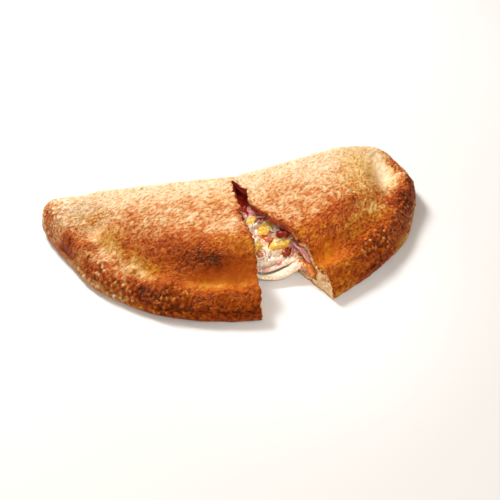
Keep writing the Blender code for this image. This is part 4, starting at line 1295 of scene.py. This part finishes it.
def heap_height(x, y, fine=False):
    """Top of the cheese: heaped under the dough, slumped in the tear, and lumpy."""
    out = np.maximum(HINGE[1] - y, 0)
    slump = np.interp(out, np.arange(len(HEAP)) * HEAP_STEP, HEAP)
    side = np.abs(across_tear(x, y))
    height = slump + 0.0040 * np.clip(side, 0, 1.3) ** 2 + 0.012 * ease((side - 1.1) / 1.2)
    height += 0.0012 * rough(x, y, 0.011, 51) + 0.0007 * rough(x, y, 0.005, 52)
    if fine:
        height += curds(x, y) * ease((1.25 - side) / 0.3)
    return below_dough(x, y, height)


def underside(x, y):
    return FLOOR_WALL + GAP + 0.0004 - 0.0020 * ease((past_edges(x, y) - 0.004) / 0.006)


# %% Plan of the sheet, and its strings
def filling_outline():
    """Plan of the cheese, opened out: inside both halves, with a hollow front across the tear."""
    arc_points = 120
    u, v = outline(FILLING_INSET, FILLING_BEHIND, arc_points, 6, 40)
    x, y = open_out(u, v)
    around = list(zip(u, x, y))
    torn_front = TORN_AWAY * (DEPTH - FILLING_INSET - HINGE_SETBACK)
    left = [(a, b) for place, a, b in around[:arc_points] if place < -0.004]
    right = [(a, b) for place, a, b in around[:arc_points] if place > torn_front + 0.004]
    behind = [(a, b) for _, a, b in around[arc_points:]]
    front = [(spot.x + HINGE[0], spot.y + HINGE[1]) for spot in smooth_path(FRONT, 8)]
    points = np.array(left + front + right + behind)
    apart = np.hypot(*(points - np.roll(points, 1, axis=0)).T) > 5e-4
    return points[apart, 0], points[apart, 1]


def string_of_cheese(points, seed, sides=20):
    """A string of melted cheese: a tube of uneven thickness, with fine ridges along it."""
    path = smooth_path([(a + HINGE[0], b + HINGE[1], c, radius) for a, b, c, radius in points], 16)

    def girth_at(index, turn):
        girth = path[index].w * (1 + 0.12 * noise.noise(Vector((index * 0.15, seed, 0))))
        return girth * (1 + 0.10 * noise.noise(Vector((index * 0.05, turn * 1.6, seed + 5))))

    vertices = []
    faces = []
    add_tube(vertices, faces, [spot.to_3d() for spot in path], sides, 0.85, girth_at)
    return new_object("string", vertices, faces)


# %% Make the cheese
loop_x, loop_y = filling_outline()
spots, faces = fill_plan(loop_x, loop_y, step=0.0030, seed=7, fine_step=0.0008,
                         is_fine=lambda a, b: past_edges(a, b) > -0.010)
a, b = spots[:, 0], spots[:, 1]
cheese = closed_between("filling_cheese", a, b, faces, heap_height(a, b, fine=True), underside(a, b))
for seed, points in enumerate(STRANDS):
    combine(cheese, string_of_cheese(points, seed), "UNION")
print("cheese:", len(cheese.data.polygons), "faces")

# %% [markdown]
# ## Pieces in the cheese
# Ham, pineapple and tomato are pressed into the cheese. Each piece is a rounded block or a thin
# wavy slice, and the cheese is cut to make room for it, so none of them runs into another.

# %% Places and sizes of the pieces, from the hinge
# (x, y, lift, length, width, height) in tenths of a mm, turn in degrees, taper in percent
PINEAPPLE = (
    (94, -533, 16, 122, 100, 76, 25, 35), (140, -711, 24, 146, 80, 88, -5, 40),
    (-44, -650, 12, 125, 85, 70, 80, 30), (-4, -440, 4, 92, 52, 46, 20, 20),
)
TOMATO = (
    (190, -650, 18, 104, 56, 58, -25, 25), (166, -786, 22, 68, 44, 50, 25, 30),
    (72, -642, 10, 56, 40, 42, -20, 10), (-26, -752, 4, 62, 46, 44, 10, 20),
)
# (x, y, length, width, height) in tenths of a mm, and turn in degrees
HAM = (
    (76, -338, 200, 115, 224, -62), (218, -580, 140, 80, 248, -60), (264, -845, 250, 90, 232, -76),
)
HAM_THICKNESS = 0.0018


# %% An angular chunk
def knife_cuts(x, y):
    """Directions of the flat cuts that bound a piece: a few round its sides, then its top and bottom."""
    draw = random.Random(round((x * 31 + y) * 1e6))
    sides = draw.choice((4, 4, 5))
    first = draw.uniform(0, 2 * math.pi)
    cuts = []
    for side in range(sides):
        turn = first + (side + draw.uniform(-0.22, 0.22)) * 2 * math.pi / sides
        cuts.append(Vector((math.cos(turn), math.sin(turn), draw.uniform(-0.25, 0.45))).normalized())
    cuts.append(Vector((draw.uniform(-0.35, 0.35), draw.uniform(-0.35, 0.35), 1.0)).normalized())
    cuts.append(Vector((0.0, 0.0, -1.0)))
    return cuts


def cut_block(direction, cuts):
    """How far a block with these flat cuts and softened edges reaches in one direction."""
    softness = 12.0
    near = sum(max(direction.dot(cut), 0.0) ** softness for cut in cuts)
    return min(near ** (-1 / softness), 1.35)


def chunk_points(piece, detail, grown, fibre=0.0):
    """Points of an angular, slightly tapering block of fruit, `grown` larger all round."""
    *in_tenths, degrees, taper = piece
    x, y, lift, length, width, height = (value / 10000 for value in in_tenths)
    planes = knife_cuts(x, y)
    turn = math.radians(degrees)
    middle = heap_height(np.array([x + HINGE[0]]), np.array([y + HINGE[1]]))[0] + lift - 0.3 * height
    block = bmesh.new()
    bmesh.ops.create_icosphere(block, subdivisions=detail, radius=1.0)
    for vertex in block.verts:
        a, b, c = vertex.co * cut_block(vertex.co, planes)
        wobble = 1 + 0.10 * noise.noise(vertex.co * 1.7 + Vector((x, y, lift)) * 900)
        wobble += fibre * noise.noise(Vector((a * 1.2, b * 7.0, c * 4.0)) + Vector((x, y, 0)) * 700)
        a *= (0.5 * length + grown) * wobble
        b *= (0.5 * width + grown) * wobble * (1 - taper / 100 * (0.5 + a / length))
        c *= (0.5 * height + grown) * (1 + 0.5 * (wobble - 1))
        vertex.co = (x + HINGE[0] + a * math.cos(turn) - b * math.sin(turn),
                     y + HINGE[1] + a * math.sin(turn) + b * math.cos(turn), middle + c)
    return block


def block_object(name, block):
    mesh = bpy.data.meshes.new(name)
    block.to_mesh(mesh)
    block.free()
    return put_in_scene(name, mesh)


def make_chunk(name, piece, material, fibre):
    """The piece itself, and the room that it takes out of the cheese."""
    chunk = block_object(name + "_fruit", chunk_points(piece, 5, 0.0, fibre))
    dress(chunk, material, name)
    room = chunk_points(piece, 3, GAP + 0.0003)
    hull = bmesh.new()
    for vertex in room.verts:
        hull.verts.new(vertex.co)
        hull.verts.new(vertex.co + Vector((0, 0, 0.03)))
    room.free()
    result = bmesh.ops.convex_hull(hull, input=hull.verts)
    unused = [g for g in result["geom_interior"] if isinstance(g, bmesh.types.BMVert)]
    bmesh.ops.delete(hull, geom=unused, context="VERTS")
    cutter = block_object(name + "_room", hull)
    face_outward(cutter)
    return cutter


# %% A wavy slice
def oval_loop(x, y, length, width, degrees, seed, grown=0.0, count=90):
    """An uneven oval plan loop."""
    turn = math.radians(degrees)
    loop_x = []
    loop_y = []
    for i in range(count):
        facing = 2 * math.pi * i / count
        wobble = 1 + 0.16 * noise.noise(Vector((math.cos(facing), math.sin(facing), seed * 3.1)))
        a = (0.5 * length * wobble + grown) * math.cos(facing)
        b = (0.5 * width * wobble + grown) * math.sin(facing)
        loop_x.append(x + HINGE[0] + a * math.cos(turn) - b * math.sin(turn))
        loop_y.append(y + HINGE[1] + a * math.sin(turn) + b * math.cos(turn))
    return loop_x, loop_y


def make_ham(name, piece, seed, material):
    """A thin wavy slice under the torn crust, and the room it takes out of the cheese."""
    *in_tenths, degrees = piece
    x, y, length, width, height = (value / 10000 for value in in_tenths)

    def upper(a, b):
        wave = 0.0009 * np.sin((a + 0.6 * b) / 0.0045 + seed) + 0.0004 * rough(a, b, 0.006, 60 + seed)
        return below_dough(a, b, height + wave + 0.10 * (a - HINGE[0] - x))

    def slab(loop_x, loop_y, step, label, top, bottom):
        spots, faces = fill_plan(loop_x, loop_y, step, 70 + seed)
        a, b = spots[:, 0], spots[:, 1]
        return closed_between(label, a, b, faces, top(a, b), bottom(a, b))

    ham = slab(*oval_loop(x, y, length, width, degrees, seed), 0.0006, name + "_slice",
               upper, lambda a, b: upper(a, b) - HAM_THICKNESS)
    dress(ham, material, name)
    return slab(*oval_loop(x, y, length, width, degrees, seed, 2 * GAP), 0.0012, name + "_room",
                lambda a, b: np.full_like(a, 0.06), lambda a, b: upper(a, b) - HAM_THICKNESS - 2 * GAP)


# %% [markdown]
# ## Wet food materials
# Cheese, fruit and ham are all wet and let light in a little. Each gets its own colour pattern, and
# they share one group of soft stains, which say where juice has run over them.

# %% Stains of juice, and a recipe for moist food
juice_stains, given, result = new_group(
    "juice stains", (("Place", "Vector", None), ("Size", "Float", 0.006), ("Amount", "Float", 0.5)),
    (("Stain", "Float"), ("Streaks", "Float")))
pools = add(juice_stains, "TexNoise", Vector=given["Place"],
            Scale=calc(juice_stains, "DIVIDE", 1.0, given["Size"]), Detail=3.0, Roughness=0.55)
low = calc(juice_stains, "SUBTRACT", 0.78, times(juice_stains, given["Amount"], 0.4))
high = calc(juice_stains, "ADD", low, 0.14)
wire(juice_stains, from_to(juice_stains, pools.outputs["Fac"], low, high), result["Stain"])
pulled = add(juice_stains, "Mapping", {"vector_type": "POINT"}, Vector=given["Place"],
             Scale=(1.0, 3.5, 3.5))
threads = add(juice_stains, "TexNoise", Vector=pulled.outputs[0], Scale=420.0, Detail=3.0)
wire(juice_stains, threads.outputs["Fac"], result["Streaks"])


def wet_food(name, stops, stain_colour, stain_size, stain_amount, gloss, depth, bump_height, sauces=()):
    """Moist food: a run of colours, stains of juice, a soft gloss, and light that goes in a little way."""
    material, tree, surface = new_material(name)
    place = where_on_object(tree)
    juice = use_group(tree, juice_stains, Place=place, Size=stain_size, Amount=stain_amount)
    grains = use_group(tree, fine_grain, Place=place, Size=0.0016)
    shade = times(tree, juice["Streaks"], 0.5, times(tree, grains["Height"], 0.5))
    flesh = colours_along(tree, from_to(tree, shade, 0.25, 0.75), stops)
    colour = blend_colours(tree, juice["Stain"], flesh, (*stain_colour, 1.0))
    for where, sauce in sauces:
        ragged = calc(tree, "SUBTRACT", shade, 0.5)
        edge = times(tree, ragged, -1.6, read_points(tree, where))
        colour = blend_colours(tree, from_to(tree, edge, 0.25, 0.65), colour, (*sauce, 1.0))
    wire_all(tree, surface, Base_Color=colour, Normal=bumps(tree, shade, bump_height, 0.6),
             Roughness=times(tree, grains["Granules"], 0.12, gloss),
             Subsurface_Weight=depth, Subsurface_Radius=(1.0, 0.6, 0.35), Subsurface_Scale=0.0025,
             Coat_Weight=0.25, Coat_Roughness=0.12)
    return material


# %% Cheese, pineapple, tomato and ham
melted = wet_food(
    "melted cheese", ((0.0, 0.80, 0.60, 0.44), (0.5, 0.91, 0.77, 0.59), (1.0, 0.96, 0.88, 0.74)),
    stain_colour=(0.72, 0.44, 0.34), stain_size=0.0060, stain_amount=0.45,
    gloss=0.22, depth=0.5, bump_height=0.0008,
    sauces=(("orange_oil", (0.72, 0.22, 0.02)), ("ham_juice", (0.60, 0.30, 0.26)),
            ("red_sauce", (0.42, 0.030, 0.018))))
fruit = wet_food(
    "pineapple", ((0.0, 0.92, 0.47, 0.04), (0.5, 0.98, 0.67, 0.12), (1.0, 0.99, 0.83, 0.30)),
    stain_colour=(0.84, 0.30, 0.03), stain_size=0.006, stain_amount=0.40,
    gloss=0.25, depth=0.4, bump_height=0.0005)
tomato = wet_food(
    "cooked tomato", ((0.0, 0.14, 0.006, 0.003), (0.5, 0.40, 0.030, 0.010), (1.0, 0.66, 0.14, 0.04)),
    stain_colour=(0.62, 0.20, 0.07), stain_size=0.004, stain_amount=0.45,
    gloss=0.2, depth=0.2, bump_height=0.0006)
pale_tomato = wet_food(
    "pale tomato", ((0.0, 0.52, 0.10, 0.04), (0.5, 0.74, 0.27, 0.13), (1.0, 0.88, 0.52, 0.34)),
    stain_colour=(0.60, 0.16, 0.07), stain_size=0.004, stain_amount=0.35,
    gloss=0.22, depth=0.25, bump_height=0.0006)
cooked_ham = wet_food(
    "cooked ham", ((0.0, 0.48, 0.15, 0.14), (0.5, 0.67, 0.29, 0.27), (1.0, 0.82, 0.50, 0.45)),
    stain_colour=(0.40, 0.07, 0.06), stain_size=0.005, stain_amount=0.4,
    gloss=0.28, depth=0.3, bump_height=0.0004)

# %% Press the pieces into the cheese
cutters = [make_chunk(f"pineapple_chunk_{number}", piece, fruit, 0.05)
           for number, piece in enumerate(PINEAPPLE, 1)]
tomatoes = (tomato, tomato, pale_tomato, pale_tomato)
cutters += [make_chunk(f"tomato_piece_{number}", piece, material, 0.08)
            for number, (piece, material) in enumerate(zip(TOMATO, tomatoes), 1)]
cutters += [make_ham(f"ham_slice_{seed + 1}", piece, seed, cooked_ham) for seed, piece in enumerate(HAM)]
for cutter in cutters:
    combine(cheese, cutter, "DIFFERENCE")
keep_largest_piece(cheese)
dress(cheese, melted, "filling")
print("cheese after making room:", len(cheese.data.polygons), "faces")

# %% Where sauce, oil and ham juice ran over the cheese, as ovals placed from the hinge
RED_SAUCE = (
    (0, -16, 17, 12, 90, 160), (4, -36, 10, 3, -60, 100), (12, -47, 12, 2, -50, 90),
    (22, -66, 10, 2, -60, 70), (-7, -44, 7, 2, -85, 60),
)
ORANGE_OIL = (
    (31, -98, 20, 6, -72, 130), (17, -77, 6, 4, 20, 80), (4, -59, 6, 3, 40, 60),
    (8, -66, 5, 3, -20, 70), (-3, -72, 4, 5, 0, 50),
)
HAM_JUICE = (
    (4, -42, 9, 5, -40, 90), (14, -60, 8, 4, -50, 80), (20, -74, 10, 3, -65, 80),
    (0, -78, 6, 3, 10, 60), (2, -85.5, 12, 2, 5, 70),
)
spots = places(cheese) - (*HINGE, 0)
for name, table in (("red_sauce", RED_SAUCE), ("orange_oil", ORANGE_OIL), ("ham_juice", HAM_JUICE)):
    keep_on_points(cheese, name, ovals(table, spots[:, 0], spots[:, 1]))

# %% [markdown]
# ## Shreds on top
# Grated mozzarella never melts quite evenly: thin shreds stay on top, with slivers of ham between
# them. Each is a short curved tube laid along whatever is under it, found by looking straight down.

# %% Shreds of cheese and slivers of ham
def top_of_filling(trees, x, y):
    """Height of the highest thing under a point of the tear, or None."""
    heights = [tree.ray_cast(Vector((x, y, 0.2)), Vector((0, 0, -1)))[0] for tree in trees]
    found = [spot.z for spot in heights if spot is not None]
    return max(found) if found else None


STEPS = 8               # a strand is laid in this many steps, and needs half of them to be kept


def lay_shreds(name, count, seed, radius_range, length_range, flatness, material):
    """Strew short curved strands over the filling where the tear is open."""
    draw = random.Random(seed)
    vertices = []
    faces = []
    laid = 0
    while laid < count:
        out = draw.uniform(0.040, 0.0885)
        left, right = torn_edges(HINGE[1] - out)
        x = HINGE[0] + mix(left + 0.0015, right - 0.0015, draw.random())
        y = HINGE[1] - out
        heading = draw.gauss(-0.3, 0.8)
        bend = draw.uniform(-1.6, 1.6)
        length = draw.uniform(*length_range)
        radius = draw.uniform(*radius_range)
        path = []
        for step in range(STEPS + 1):
            height = top_of_filling(LAID_UNDER, x, y)
            if height is None or past_edges(np.array(x), np.array(y)) < 0.0005:
                break
            rise = 0.6 * radius * math.sin(math.pi * step / STEPS)
            path.append((x, y, height + flatness * radius * 0.4 + rise))
            x += length / STEPS * math.cos(heading)
            y += length / STEPS * math.sin(heading)
            heading += bend / STEPS
        if len(path) <= STEPS / 2:
            continue
        smoothed = [(a[2] + b[2] + c[2]) / 3 for a, b, c in zip(path, path[1:], path[2:])]
        heights = [path[0][2], *smoothed, path[-1][2]]
        if max(heights) - min(heights) > 0.004:
            continue
        curve = smooth_path([(a, b, z) for (a, b, _), z in zip(path, heights)], 3)

        def girth_at(index, turn):
            ends = math.sqrt(max(1 - (2 * index / (len(curve) - 1) - 1) ** 6, 0.04))
            return radius * ends * (1 + 0.25 * noise.noise(Vector((index * 0.4, laid * 3.1, 0))))

        add_tube(vertices, faces, curve, 9, flatness, girth_at)
        laid += 1
    strewn = new_object(name, vertices, faces)
    dress(strewn, material)
    print(name + ":", laid, "strands,", len(strewn.data.polygons), "faces")


# %% Lay them on the cheese
bpy.context.view_layer.update()
graph = bpy.context.evaluated_depsgraph_get()
LAID_UNDER = [bvhtree.BVHTree.FromObject(thing, graph)
              for thing in bpy.data.objects if thing == cheese or thing.name.endswith("_fruit")]
lay_shreds("cheese_shreds", 26, 5, (0.0005, 0.0011), (0.005, 0.012), 0.7, melted)
lay_shreds("ham_slivers", 9, 8, (0.0007, 0.0012), (0.003, 0.007), 0.45, cooked_ham)
